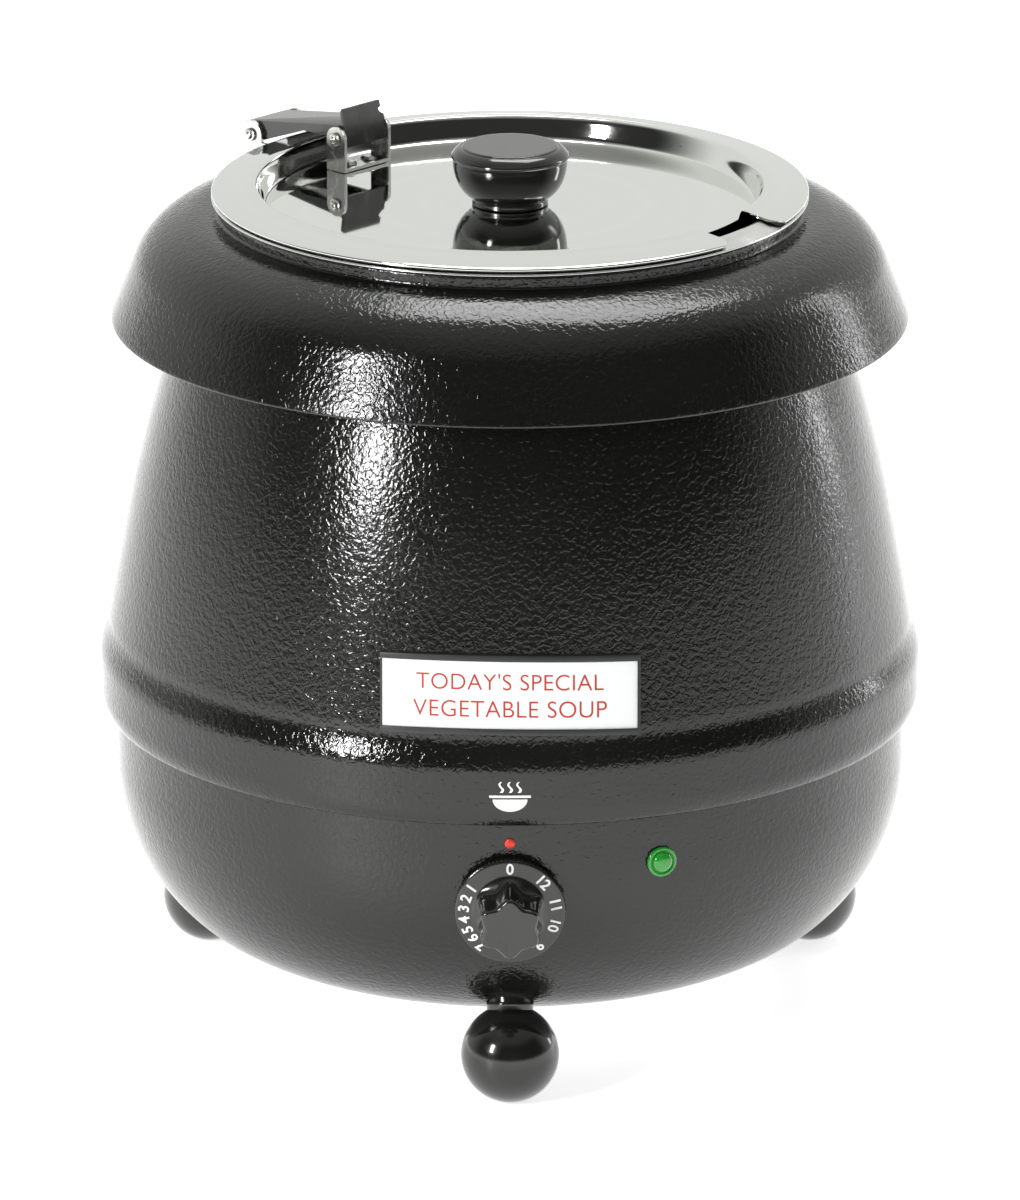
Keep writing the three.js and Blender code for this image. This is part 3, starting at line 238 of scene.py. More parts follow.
def revolve(outline, segments=ROUND, closed=True, radius=None):
    """x = r cos a, y = r sin a, z = height, for each outline point (r, height) and angle a.

    radius may turn (r, height, a) into a radius that changes round the piece."""
    angle = np.linspace(0, 2 * np.pi, segments, endpoint=False)[None, :]
    r, z = outline[:, 0][:, None], outline[:, 1][:, None]
    r = radius(r, z, angle) if radius else r + 0 * angle
    return around_axis(r, z, angle).reshape(-1, 3), grid_faces(len(outline), segments, closed, True)


def sweep(sections):
    """A closed section carried through stations: sections is stations by points by 3, its ends capped."""
    stations, count = sections.shape[:2]
    faces = grid_faces(stations, count, False, True).tolist()
    faces.append(list(range(count)))
    faces.append(list(range((stations - 1) * count, stations * count)))
    return sections.reshape(-1, 3), faces


def turned_to(matrix, *patches):
    """The patches with every point multiplied by a 4 by 4 matrix."""
    m = np.array(matrix)
    return [(points @ m[:3, :3].T + m[:3, 3], faces) for points, faces in patches]


def facing(azimuth, height):
    """Matrix from a piece turned about +Z to one whose axis points outward at that azimuth."""
    turn = Matrix.Rotation(math.radians(azimuth), 4, "Z") @ Matrix.Rotation(math.radians(90), 4, "Y")
    return Matrix.Translation((0, 0, height)) @ turn


def dial_matrix():
    """Matrix from the dial's own frame, +Z out of the kettle and +Y up, to the kettle's."""
    return Matrix.Translation(DIAL_PLACE) @ Matrix.Rotation(math.radians(90 + DIAL_TILT), 4, "X")


def piece(name, patches, material, body, replaces=()):
    """One finished object from patches of points in millimetres, its doubles merged and faces out."""
    starts = np.cumsum([0] + [len(points) for points, _ in patches])
    points = np.vstack([points for points, _ in patches]) * MM
    faces = []
    for start, (_, quads) in zip(starts, patches):
        faces += [[start + int(k) for k in face] for face in quads]
    mesh = bpy.data.meshes.new(name)
    mesh.from_pydata(points.tolist(), [], faces)
    work = bmesh.new()
    work.from_mesh(mesh)
    bmesh.ops.remove_doubles(work, verts=work.verts, dist=2e-6)
    bmesh.ops.dissolve_degenerate(work, edges=work.edges, dist=1e-7)
    bmesh.ops.recalc_face_normals(work, faces=work.faces)
    work.to_mesh(mesh)
    work.free()
    mesh.shade_smooth()
    mesh.set_sharp_from_angle(angle=SHARP)
    made = bpy.data.objects.new(name, mesh)
    bpy.context.scene.collection.objects.link(made)
    mesh.materials.append(material)
    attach(made, body)
    if replaces:
        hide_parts(*replaces)
    return made


def softened(node, material, body, width=0.35 * MM):
    """A merged copy of a CAD node with its edges rounded by a bevel, in place of the node."""
    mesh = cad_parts[node].data.copy()
    mesh.name = node + "_finished"
    work = bmesh.new()
    work.from_mesh(mesh)
    bmesh.ops.remove_doubles(work, verts=work.verts, dist=1e-6)
    bmesh.ops.dissolve_limit(work, angle_limit=math.radians(1), verts=work.verts, edges=work.edges)
    work.to_mesh(mesh)
    work.free()
    made = bpy.data.objects.new(node + "_finished", mesh)
    bpy.context.scene.collection.objects.link(made)
    mesh.materials.clear()
    mesh.materials.append(material)
    mesh.shade_smooth()
    mesh.set_sharp_from_angle(angle=SHARP)
    edge = made.modifiers.new("edge", "BEVEL")
    edge.width = width
    edge.segments = 3
    edge.limit_method = "ANGLE"
    edge.angle_limit = math.radians(40)
    edge.harden_normals = False
    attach(made, body)
    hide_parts(node)
    return made


def lettering(text, height, weight, depth, spacing=1.0):
    """A line of text as a solid patch in millimetres, centred, read along +X from the +Z side."""
    half_thick = 0.02
    curve = bpy.data.curves.new("lettering", "FONT")
    curve.body = text
    curve.align_x = "CENTER"
    curve.space_character = spacing
    curve.offset = weight
    curve.resolution_u = 8
    curve.extrude = half_thick
    maker = bpy.data.objects.new("lettering", curve)
    bpy.context.scene.collection.objects.link(maker)
    bpy.context.view_layer.update()
    shape = bpy.data.meshes.new_from_object(maker.evaluated_get(bpy.context.evaluated_depsgraph_get()))
    points = np.empty(len(shape.vertices) * 3)
    shape.vertices.foreach_get("co", points)
    points = points.reshape(-1, 3)
    faces = [list(polygon.vertices) for polygon in shape.polygons]
    bpy.data.objects.remove(maker)
    bpy.data.curves.remove(curve)
    bpy.data.meshes.remove(shape)
    middle = (points.max(axis=0) + points.min(axis=0)) / 2
    scale = height / (points[:, 1].max() - points[:, 1].min())
    points = (points - middle) * (scale, scale, depth / (2 * half_thick))
    return points, faces


# ---- Node groups: the effects that several finishes share -----------------------------------

def new_group(name, inputs, outputs):
    """An empty shader node group with named float inputs (and a Vector) and outputs."""
    tree = bpy.data.node_groups.new(name, "ShaderNodeTree")
    tree.interface.new_socket("Vector", in_out="INPUT", socket_type="NodeSocketVector")
    for label, value in inputs.items():
        socket = tree.interface.new_socket(label, in_out="INPUT", socket_type="NodeSocketFloat")
        socket.default_value = value
    for label in outputs:
        tree.interface.new_socket(label, in_out="OUTPUT", socket_type="NodeSocketFloat")
    return tree, tree.nodes.new("NodeGroupInput"), tree.nodes.new("NodeGroupOutput")


def math_node(tree, operation, a, b=None, c=None, clamp=False):
    """A Math node whose inputs are sockets or numbers; gives its output socket."""
    node = tree.nodes.new("ShaderNodeMath")
    node.operation = operation
    node.use_clamp = clamp
    for socket, value in zip(node.inputs, (a, b, c)):
        if value is None:
            continue
        if isinstance(value, (int, float)):
            socket.default_value = value
        else:
            tree.links.new(value, socket)
    return node.outputs[0]


def noise_node(tree, vector, scale, detail=2.0, roughness=0.5, distortion=0.0):
    """A Noise Texture node whose scale is a socket or a number; gives its factor."""
    node = tree.nodes.new("ShaderNodeTexNoise")
    tree.links.new(vector, node.inputs["Vector"])
    if isinstance(scale, (int, float)):
        node.inputs["Scale"].default_value = scale
    else:
        tree.links.new(scale, node.inputs["Scale"])
    node.inputs["Detail"].default_value = detail
    node.inputs["Roughness"].default_value = roughness
    node.inputs["Distortion"].default_value = distortion
    return node.outputs["Fac"]


def ramp_node(tree, value, start, end):
    """Smooth 0 to 1 as the value goes from start to end; gives its output socket."""
    node = tree.nodes.new("ShaderNodeMapRange")
    node.interpolation_type = "SMOOTHSTEP"
    tree.links.new(value, node.inputs["Value"])
    node.inputs["From Min"].default_value = start
    node.inputs["From Max"].default_value = end
    return node.outputs["Result"]


def peel_group():
    """Powder coat skin: rounded bumps with creases between them, and finer grains on top."""
    tree, given, made = new_group("powder_peel", {"Scale": 620}, ("Height", "Mask"))
    bumps = noise_node(tree, given.outputs["Vector"], given.outputs["Scale"], 1.5, 0.45, 0.6)
    lumps = ramp_node(tree, bumps, 0.3, 0.68)
    finer = math_node(tree, "MULTIPLY", given.outputs["Scale"], 2.7)
    grains = noise_node(tree, given.outputs["Vector"], finer, 1.0)
    height = math_node(tree, "MULTIPLY_ADD", grains, 0.22, lumps)
    tree.links.new(height, made.inputs["Height"])
    broad = noise_node(tree, given.outputs["Vector"], 9.0, 2.0)
    tree.links.new(ramp_node(tree, broad, 0.35, 0.7), made.inputs["Mask"])
    return tree


def marks_group():
    """Handling marks: broad smudges broken up by small specks."""
    tree, given, made = new_group("handling_marks", {"Scale": 18}, ("Mask",))
    broad = noise_node(tree, given.outputs["Vector"], given.outputs["Scale"], 4.0, 0.6, 0.8)
    smudge = ramp_node(tree, broad, 0.45, 0.75)
    finer = math_node(tree, "MULTIPLY", given.outputs["Scale"], 24)
    specks = ramp_node(tree, noise_node(tree, given.outputs["Vector"], finer, 2.0), 0.62, 0.8)
    total = math_node(tree, "MULTIPLY_ADD", specks, 0.35, smudge, clamp=True)
    tree.links.new(total, made.inputs["Mask"])
    return tree


def turned_group():
    """Fine rings round the kettle's axis, as spinning and polishing leave them."""
    tree, given, made = new_group("turned_rings", {"Scale": 1400, "Upright": 1}, ("Height", "Mask"))
    split = tree.nodes.new("ShaderNodeSeparateXYZ")
    tree.links.new(given.outputs["Vector"], split.inputs[0])
    squares = [math_node(tree, "POWER", math_node(tree, "ABSOLUTE", split.outputs[k]), 2) for k in (0, 1)]
    radius = math_node(tree, "SQRT", math_node(tree, "ADD", *squares))
    joined = tree.nodes.new("ShaderNodeCombineXYZ")
    tree.links.new(radius, joined.inputs[0])
    tree.links.new(math_node(tree, "MULTIPLY", split.outputs[2], given.outputs["Upright"]), joined.inputs[1])
    rings = noise_node(tree, joined.outputs[0], given.outputs["Scale"], 3.0, 0.7)
    tree.links.new(rings, made.inputs["Height"])
    coarse = math_node(tree, "MULTIPLY", given.outputs["Scale"], 0.2)
    tree.links.new(noise_node(tree, joined.outputs[0], coarse, 2.0), made.inputs["Mask"])
    return tree


def grain_group():
    """Fine even grain of moulded, plated or brushed parts, stretched along Z by Stretch."""
    tree, given, made = new_group("fine_grain", {"Scale": 900, "Stretch": 1}, ("Height", "Mask"))
    split = tree.nodes.new("ShaderNodeSeparateXYZ")
    tree.links.new(given.outputs["Vector"], split.inputs[0])
    joined = tree.nodes.new("ShaderNodeCombineXYZ")
    tree.links.new(split.outputs[0], joined.inputs[0])
    tree.links.new(split.outputs[1], joined.inputs[1])
    tree.links.new(math_node(tree, "MULTIPLY", split.outputs[2], given.outputs["Stretch"]), joined.inputs[2])
    grain = noise_node(tree, joined.outputs[0], given.outputs["Scale"], 3.0, 0.6)
    tree.links.new(grain, made.inputs["Height"])
    coarse = math_node(tree, "MULTIPLY", given.outputs["Scale"], 0.12)
    tree.links.new(noise_node(tree, joined.outputs[0], coarse, 3.0, 0.6), made.inputs["Mask"])
    return tree


def group_called(name):
    """The node group of that name, made the first time it is asked for."""
    makers = {"powder_peel": peel_group, "handling_marks": marks_group,
              "turned_rings": turned_group, "fine_grain": grain_group}
    return bpy.data.node_groups.get(name) or makers[name]()


# ---- Finishes -------------------------------------------------------------------------------

def finish(name, colour, second, rough, relief, relief_values, depth, marks=18.0, metallic=0.0, sockets=None):
    """A Principled material: relief from one group, colour and roughness varied by its mask and by marks.

    colour and second are mixed by the relief's mask; rough is (lowest, highest) roughness."""
    name += "_finish"
    known = bpy.data.materials.get(name)
    if known:
        return known
    material = bpy.data.materials.new(name)
    material.use_nodes = True
    tree = material.node_tree
    shader = tree.nodes["Principled BSDF"]
    place = tree.nodes.new("ShaderNodeTexCoord").outputs["Object"]

    skin = tree.nodes.new("ShaderNodeGroup")
    skin.node_tree = group_called(relief)
    tree.links.new(place, skin.inputs["Vector"])
    for label, value in relief_values.items():
        skin.inputs[label].default_value = value
    worn = tree.nodes.new("ShaderNodeGroup")
    worn.node_tree = group_called("handling_marks")
    worn.inputs["Scale"].default_value = marks
    tree.links.new(place, worn.inputs["Vector"])

    mix = tree.nodes.new("ShaderNodeMix")
    mix.data_type = "RGBA"
    mix.inputs["A"].default_value = (*colour, 1)
    mix.inputs["B"].default_value = (*second, 1)
    tree.links.new(skin.outputs["Mask"], mix.inputs["Factor"])
    tree.links.new(mix.outputs["Result"], shader.inputs["Base Color"])

    spread = tree.nodes.new("ShaderNodeMapRange")
    spread.inputs["To Min"].default_value = rough[0]
    spread.inputs["To Max"].default_value = rough[1]
    tree.links.new(worn.outputs["Mask"], spread.inputs["Value"])
    tree.links.new(spread.outputs["Result"], shader.inputs["Roughness"])

    bump = tree.nodes.new("ShaderNodeBump")
    bump.inputs["Distance"].default_value = depth
    tree.links.new(skin.outputs["Height"], bump.inputs["Height"])
    tree.links.new(bump.outputs["Normal"], shader.inputs["Normal"])

    shader.inputs["Metallic"].default_value = metallic
    for label, value in (sockets or {}).items():
        shader.inputs[label].default_value = value
    return material


def tinted(colour, factor):
    """A colour times a factor, kept at or under 1."""
    return tuple(min(1.0, channel * factor) for channel in colour)


def powder_coat():
    """Black textured powder coat of the casing."""
    colours, sizes = bpy.context.scene.kettle_colours, bpy.context.scene.kettle_sizes
    return finish("black_powder_coat", colours.coat, tinted(colours.coat, 1.4), (0.11, 0.2), "powder_peel",
                  {"Scale": 500}, sizes.peel, marks=7)


def phenolic(name="black_phenolic", rough=(0.1, 0.24)):
    """Glossy moulded phenolic; the name and the roughness change with the piece."""
    colours = bpy.context.scene.kettle_colours
    return finish(name, colours.phenolic, tinted(colours.phenolic, 1.6), rough, "fine_grain",
                  {"Scale": 700}, 0.012 * MM, marks=45, sockets={"Coat Weight": 0.4, "Coat Roughness": 0.06})


def mirror_steel():
    """Mirror-polished stainless sheet of the lid."""
    return finish("mirror_steel", (0.80, 0.81, 0.78), (0.86, 0.87, 0.84), (0.035, 0.1), "turned_rings",
                  {"Scale": 500, "Upright": 0}, 0.0012 * MM, marks=16, metallic=1.0)


def drawn_steel():
    """Deep-drawn stainless sheet of the insert's inside, its rim and the water pan."""
    return finish("drawn_steel", (0.66, 0.66, 0.64), (0.74, 0.74, 0.72), (0.16, 0.3), "turned_rings",
                  {"Scale": 1500}, 0.01 * MM, marks=22, metallic=1.0)


def shade_painted_steel():
    """Duller stainless of the insert's outside below the collar; its darker colour is painted shade for the
    wall that sits inside the casing.
    """
    return finish("shade_painted_steel", (0.27, 0.27, 0.26), (0.35, 0.35, 0.34), (0.3, 0.44), "turned_rings",
                  {"Scale": 1500}, 0.01 * MM, marks=22, metallic=1.0)


def satin_steel():
    """Satin stainless of the hinge and its pins."""
    return finish("satin_steel", (0.62, 0.62, 0.60), (0.72, 0.72, 0.70), (0.2, 0.36), "fine_grain",
                  {"Scale": 1800, "Stretch": 0.1}, 0.01 * MM, marks=90, metallic=1.0)


def black_enamel():
    """Stove enamel of the hinge's link."""
    return finish("black_enamel", (0.012, 0.012, 0.012), (0.02, 0.02, 0.02), (0.14, 0.3), "fine_grain",
                  {"Scale": 420}, 0.03 * MM, marks=60, sockets={"Coat Weight": 0.5, "Coat Roughness": 0.08})


def zinc():
    """Zinc plate on the fasteners and brackets."""
    return finish("zinc_plate", (0.48, 0.49, 0.50), (0.60, 0.61, 0.60), (0.3, 0.5), "fine_grain",
                  {"Scale": 260}, 0.015 * MM, marks=60, metallic=1.0)


def aluminium():
    """Rolled aluminium of the heat spreader."""
    return finish("raw_aluminium", (0.62, 0.63, 0.65), (0.72, 0.73, 0.74), (0.35, 0.5), "fine_grain",
                  {"Scale": 500, "Stretch": 0.1}, 0.02 * MM, marks=30, metallic=1.0)


def sheath():
    """Heat-tinted tube of the element and the sensor's bulb."""
    return finish("element_sheath", (0.30, 0.24, 0.19), (0.42, 0.31, 0.22), (0.35, 0.55), "fine_grain",
                  {"Scale": 300}, 0.02 * MM, marks=40, metallic=1.0)


def ivory():
    """Ivory thermoset of the electrical parts."""
    return finish("ivory_plastic", (0.62, 0.57, 0.45), (0.68, 0.63, 0.52), (0.35, 0.5), "fine_grain",
                  {"Scale": 600}, 0.015 * MM, marks=50)


def sleeve():
    """Silicone sleeve of the leads."""
    return finish("wire_sleeve", (0.55, 0.53, 0.48), (0.62, 0.60, 0.55), (0.5, 0.65), "fine_grain",
                  {"Scale": 900}, 0.03 * MM, marks=70)


def dark_trim():
    """Dark moulded trim of the label holder."""
    return finish("dark_trim", (0.026, 0.027, 0.027), (0.036, 0.037, 0.036), (0.3, 0.42), "fine_grain",
                  {"Scale": 800, "Stretch": 0.2}, 0.01 * MM, marks=40)


def card_paper():
    """Laminated white card."""
    return finish("white_card", (0.86, 0.88, 0.87), (0.90, 0.92, 0.91), (0.35, 0.5), "fine_grain",
                  {"Scale": 1100}, 0.008 * MM, marks=30)


def ink(name, colour):
    """Matt print in one flat coat."""
    return finish(name, colour, tinted(colour, 1.12), (0.4, 0.55), "fine_grain", {"Scale": 1500}, 0.006 * MM,
                  marks=60)


def lamp_plastic():
    """Translucent green plastic of the pilot lamp's cap."""
    colour = bpy.context.scene.kettle_colours.lens
    gloss = {"Coat Weight": 0.6, "Coat Roughness": 0.05}
    depth = {"Subsurface Weight": 0.1, "Subsurface Scale": 1.5 * MM}
    return finish("green_lens", colour, tinted(colour, 1.3), (0.12, 0.22), "fine_grain", {"Scale": 500},
                  0.01 * MM, marks=80, sockets={**gloss, **depth})


def index_plastic():
    """Red plastic of the dial's index."""
    colour = bpy.context.scene.kettle_colours.index
    return finish("red_index", colour, tinted(colour, 1.2), (0.25, 0.35), "fine_grain", {"Scale": 500},
                  0.01 * MM, marks=80)


# ---- Shapes of the big pieces ---------------------------------------------------------------

BOWL_CURVE = (64.2, 79)  # half axes of the ellipse that the bowl's wall follows
BOWL_CENTRE = (BOWL_RADIUS - BOWL_CURVE[0], BOWL_BOTTOM + BOWL_CURVE[1])
CONE_FOOT = BAND_FOOT + 38.6
CONE_TOP = BODY_TOP - 3
STEP_IN = 3.9  # from the band to the cone's foot
STEP_HEIGHT = 16
CONE_FOOT_RADIUS = BAND_RADIUS - STEP_IN
BODY_TOP_RADIUS = 128.5
BODY_MOUTH = 117.5
BAND_LIP = (3.8, 9)  # half axes of the band's turned-in lower lip
SKIRT_HEIGHT = 49.5
SHOULDER = (-14.1, 35.2)  # from the skirt's edge to the corner that the shoulder rounds off
SHOULDER_REACH = 13.4  # of the rounding, to each side of that corner
CROWN_DROP = 5.6  # of the collar's crown below its neck
COLLAR_MOUTH = 115.5
POT_RADIUS = 113
POT_CORNER = 18


def cone_radius(height):
    """Radius of the cone: steep at its foot, rounding over to the top."""
    share = (np.asarray(height, dtype=float) - CONE_FOOT) / (CONE_TOP - CONE_FOOT)
    return CONE_FOOT_RADIUS - (CONE_FOOT_RADIUS - BODY_TOP_RADIUS) * (0.68 * share + 0.32 * share ** 3)


def bowl_outline(wall):
    """Floor ledge, elliptical wall, rounded rim and the ledge that carries the pan."""
    edge = 2
    path = chain(
        line((BOWL_CENTRE[0] - 6, BOWL_BOTTOM), (BOWL_CENTRE[0], BOWL_BOTTOM), 2),
        arc(BOWL_CENTRE, BOWL_CURVE, -90, 0, 56),
        line((BOWL_RADIUS, BOWL_CENTRE[1]), (BOWL_RADIUS, BOWL_TOP - edge), 6),
        arc((BOWL_RADIUS - edge, BOWL_TOP - edge), (edge, edge), 0, 90, 6),
        line((BOWL_RADIUS - edge, BOWL_TOP), (BOWL_RADIUS - 18, BOWL_TOP), 3),
    )
    return walled(path, wall)


def body_outline(wall):
    """Turned-in lip, upright band, cosine step in to the cone, cone and turned-in top."""
    flare = np.linspace(1, 0, 15)[:-1]
    out = 0.5 - 0.5 * np.cos(np.pi * flare)
    step = np.column_stack((CONE_FOOT_RADIUS + STEP_IN * out, CONE_FOOT - STEP_HEIGHT * flare))
    heights = np.linspace(CONE_FOOT, CONE_TOP, 49)
    cone = np.column_stack((cone_radius(heights), heights))
    lip = (BAND_RADIUS - BAND_LIP[0], BAND_FOOT + BAND_LIP[1])
    path = chain(
        arc(lip, BAND_LIP, -62, 0, 14),
        line((BAND_RADIUS, lip[1]), (BAND_RADIUS, CONE_FOOT - STEP_HEIGHT), 6),
        step, cone,
        bend(cone[-1], (BODY_TOP_RADIUS - 1, BODY_TOP), (BODY_TOP_RADIUS - 4, BODY_TOP), 5),
        line((BODY_TOP_RADIUS - 4, BODY_TOP), (BODY_MOUTH, BODY_TOP), 3),
    )
    return walled(path, wall)


def collar_outline(wall):
    """Skirt, round shoulder, nearly level crown, neck and the ledge that the insert's rim rests on."""
    edge = np.array((COLLAR_RADIUS, COLLAR_TOP - SKIRT_HEIGHT))
    corner = edge + SHOULDER
    crown = np.array((RIM_RADIUS + 6.5, COLLAR_TOP - CROWN_DROP))
    neck = RIM_RADIUS - 2.5
    turn = 1.4  # size of the small bends at the foot and the top of the neck
    up = (edge - corner) / np.linalg.norm(edge - corner)
    across = (crown - corner) / np.linalg.norm(crown - corner)
    below, beyond = corner + up * SHOULDER_REACH, corner + across * SHOULDER_REACH
    path = chain(
        line(edge, below, 12),
        bend(below, corner, beyond, 22),
        bend(crown - across * 6, crown, (neck + turn, crown[1]), 8),
        bend((neck + turn, crown[1]), (neck, crown[1]), (neck, crown[1] + turn), 4),
        line((neck, crown[1] + turn), (neck, COLLAR_TOP - turn), 2),
        bend((neck, COLLAR_TOP - turn), (neck, COLLAR_TOP), (neck - turn, COLLAR_TOP), 4),
        line((neck - turn, COLLAR_TOP), (COLLAR_MOUTH, COLLAR_TOP), 2),
    )
    return walled(path, wall)


def pot_outline(wall):
    """Floor, corner, wall, rim rolled outward and sloping up to the mouth, and back down inside."""
    bottom = low("insert_pot")
    radius, corner = POT_RADIUS, POT_CORNER
    seat = COLLAR_TOP + GAP
    inner = corner - wall
    root, roll = 2.6, 0.6  # of the rim: the bend under it and the rolled edge
    return chain(
        line((0, bottom), (radius - corner, bottom), 12),
        arc((radius - corner, bottom + corner), (corner, corner), -90, 0, 12),
        line((radius, bottom + corner), (radius, seat - root), 20),
        bend((radius, seat - root), (radius, seat), (radius + root, seat), 5),
        line((radius + root, seat), (RIM_RADIUS - roll, seat), 3),
        arc((RIM_RADIUS - roll, seat + roll), (roll, roll), -90, 90, 8),
        line((RIM_RADIUS - roll, seat + wall), (radius + 2, MOUTH - 0.25), 4),
        bend((radius + 2, MOUTH - 0.25), (radius - wall, MOUTH), (radius - wall, MOUTH - 3), 8),
        line((radius - wall, MOUTH - 3), (radius - wall, bottom + corner), 24),
        arc((radius - corner, bottom + corner), (inner, inner), 0, -90, 12),
        line((radius - corner, bottom + wall), (0, bottom + wall), 12),
    )


# ---- Lid ------------------------------------------------------------------------------------

SLOT_HALF = 17
SLOT_FLARE = 6
LID_SHEET = 1.0
FLANGE_WIDTH = 18.2
FLANGE_DROP = 2.5  # of its edge below its crest
LID_STEP = 4.5  # width of the rounded step from the flange down to the disc
LID_HEM = 0.85  # radius of the hem round the lid's edge


def slot_half_angle(radius):
    """Angle from the slot's middle to its side at a radius: parallel sides that flare at the lid's edge."""
    start = RIM_RADIUS - SLOT_FLARE - 1.5
    share = np.clip((radius - start) / (RIM_RADIUS - start), 0, 1)
    half = SLOT_HALF + SLOT_FLARE * (1 - np.sqrt(1 - share ** 2 * 0.995))
    return np.arcsin(half / radius)


def lid_patches():
    """A ring of points for each radius of the profile; outside the slot's inner edge the rings are open.

    Inner patches run all the way round. The outer patch runs from one side of the slot round to the other,
    over the flange, round the hem and back underneath; walls close the slot's three sides."""
    crest = RIM_RADIUS - FLANGE_WIDTH
    disc = crest - LID_STEP
    inner = crest - 2
    edge_z = LID_TOP - FLANGE_DROP
    share = np.linspace(0, 1, 25)
    rise = 0.5 - 0.5 * np.cos(np.pi * share)
    step = np.column_stack((disc + LID_STEP * share, DISC + (LID_TOP - DISC) * rise))
    inner_z = np.interp(inner, step[:, 0], step[:, 1])
    flange = chain(
        step[step[:, 0] > inner],
        bend((crest, LID_TOP), (crest + 2, LID_TOP + 0.05), (crest + 4, LID_TOP - 0.42), 4),
        line((crest + 4, LID_TOP - 0.42), (RIM_RADIUS - 1.6, edge_z + 0.25), 10),
        bend((RIM_RADIUS - 1.6, edge_z + 0.25), (RIM_RADIUS, edge_z), (RIM_RADIUS, edge_z - LID_HEM), 5),
    )
    over = np.vstack(([(inner, inner_z)], flange))
    hem_z = edge_z - 2 * LID_HEM
    hem = bend((RIM_RADIUS, edge_z - LID_HEM), (RIM_RADIUS, hem_z), (RIM_RADIUS - 1.4, hem_z), 5)
    under = over[:-8] - (0, LID_SHEET)
    loop = chain(over, hem, [(RIM_RADIUS - 2.4, hem_z + 0.05)], under[::-1])

    start = slot_half_angle(np.array([inner]))[0]
    offset = math.radians(SLOT_AZIMUTH)
    long_way = np.linspace(start, 2 * np.pi - start, ROUND + 1)
    mouth = np.linspace(-start, start, 25)
    around = np.concatenate((long_way, mouth[1:-1])) + offset
    top = chain(line((0, DISC), (disc - 1, DISC), 40), step[step[:, 0] <= inner], [(inner, inner_z)])
    patches = []
    for ring in (top, top - (0, LID_SHEET)):
        points = around_axis(ring[:, :1], ring[:, 1:], around)
        patches.append((points.reshape(-1, 3), grid_faces(len(ring), len(around), False, True)))

    half = slot_half_angle(loop[:, :1])
    t = np.linspace(0, 1, ROUND + 1)[None, :]
    points = around_axis(loop[:, :1], loop[:, 1:], half + (2 * np.pi - 2 * half) * t + offset)
    patches.append((points.reshape(-1, 3), grid_faces(len(loop), ROUND + 1, False, False)))
    for column in (0, -1):
        patches.append((points[:, column], [list(range(len(loop)))]))

    wall = np.array([[inner_z], [inner_z - LID_SHEET]])
    points = around_axis(inner, wall, mouth[None, :] + offset)
    patches.append((points.reshape(-1, 3), grid_faces(2, len(mouth), False, False)))
    return patches


def knob_outline():
    """Neck, bowl-shaped underside, ring, groove and flat top, from the axis round to the axis."""
    neck = 15.9
    ring = KNOB_TOP - 4.5
    face = 20.2
    widest = reach("lid_knob")
    return chain(
        [(0, KNOB_FOOT), (neck - 0.6, KNOB_FOOT)],
        bend((neck - 0.6, KNOB_FOOT), (neck, KNOB_FOOT), (neck, KNOB_FOOT + 0.6), 4),
        line((neck, KNOB_FOOT + 0.6), (neck - 0.2, KNOB_FOOT + 2.2), 2),
        bend((neck - 0.2, KNOB_FOOT + 2.2), (neck, KNOB_FOOT + 2.8), (neck + 1.2, KNOB_FOOT + 3.3), 5),
        bend((neck + 1.2, KNOB_FOOT + 3.3), (widest - 0.9, KNOB_FOOT + 8.2), (widest - 0.7, ring - 1.2), 22),
        bend((widest - 0.7, ring - 1.2), (widest - 0.6, ring - 0.5), (widest - 0.1, ring - 0.1), 4),
        bend((widest - 0.1, ring - 0.1), (widest + 0.1, ring + 0.8), (widest - 0.6, ring + 1.4), 5),
        bend((widest - 0.6, ring + 1.4), (face + 2.2, ring + 3.6), (face + 0.5, ring + 3.9), 10),
        bend((face + 0.5, ring + 3.9), (face, ring + 3.6), (face - 0.3, ring + 4.1), 5),
        bend((face - 0.3, ring + 4.1), (face - 0.5, KNOB_TOP), (face - 1.2, KNOB_TOP), 4),
        line((face - 1.2, KNOB_TOP), (0, KNOB_TOP), 14),
    )


# ---- Dial -----------------------------------------------------------------------------------

NUMERALS = {  # degrees clockwise from the index
    "0": 0, "12": 47, "11": 80, "10": 109, "9": 141,
    "1": -56, "2": -71, "3": -85, "4": -100, "5": -114, "6": -127, "7": -141,
}
DIAL_SKIRT = 22.7
DIAL_GRIP = 13.7
DIAL_DEPTH = 22.8
DIAL_TEETH = 84
DIAL_ROUND = 660  # segments, enough for the teeth
NUMERAL_RING = (0, 18.9, 4.18)  # place of a numeral on the skirt's sloping face
NUMERAL_SLOPE = 9


def dial_outline():
    """Skirt with a sloping face, hollow root and a straight grip with a rounded front edge."""
    skirt, grip, front = DIAL_SKIRT, DIAL_GRIP, DIAL_DEPTH
    return chain(
        line((0, 0), (skirt - 1.1, 0), 8),
        bend((skirt - 1.1, 0), (skirt - 0.1, 0), (skirt, 0.7), 3),
        line((skirt, 0.7), (skirt, 2.6), 3),
        bend((skirt, 2.6), (skirt - 0.1, 3.4), (skirt - 1.1, 3.7), 4),
        line((skirt - 1.1, 3.7), (grip + 2.8, 4.5), 8),
        bend((grip + 2.8, 4.5), (grip + 0.2, 4.8), (grip, 8.2), 10),
        line((grip, 8.2), (grip - 0.4, front - 2.2), 14),
        bend((grip - 0.4, front - 2.2), (grip - 0.6, front - 0.1), (grip - 2.3, front), 8),
        line((grip - 2.3, front), (0, front - 0.6), 16),
    )


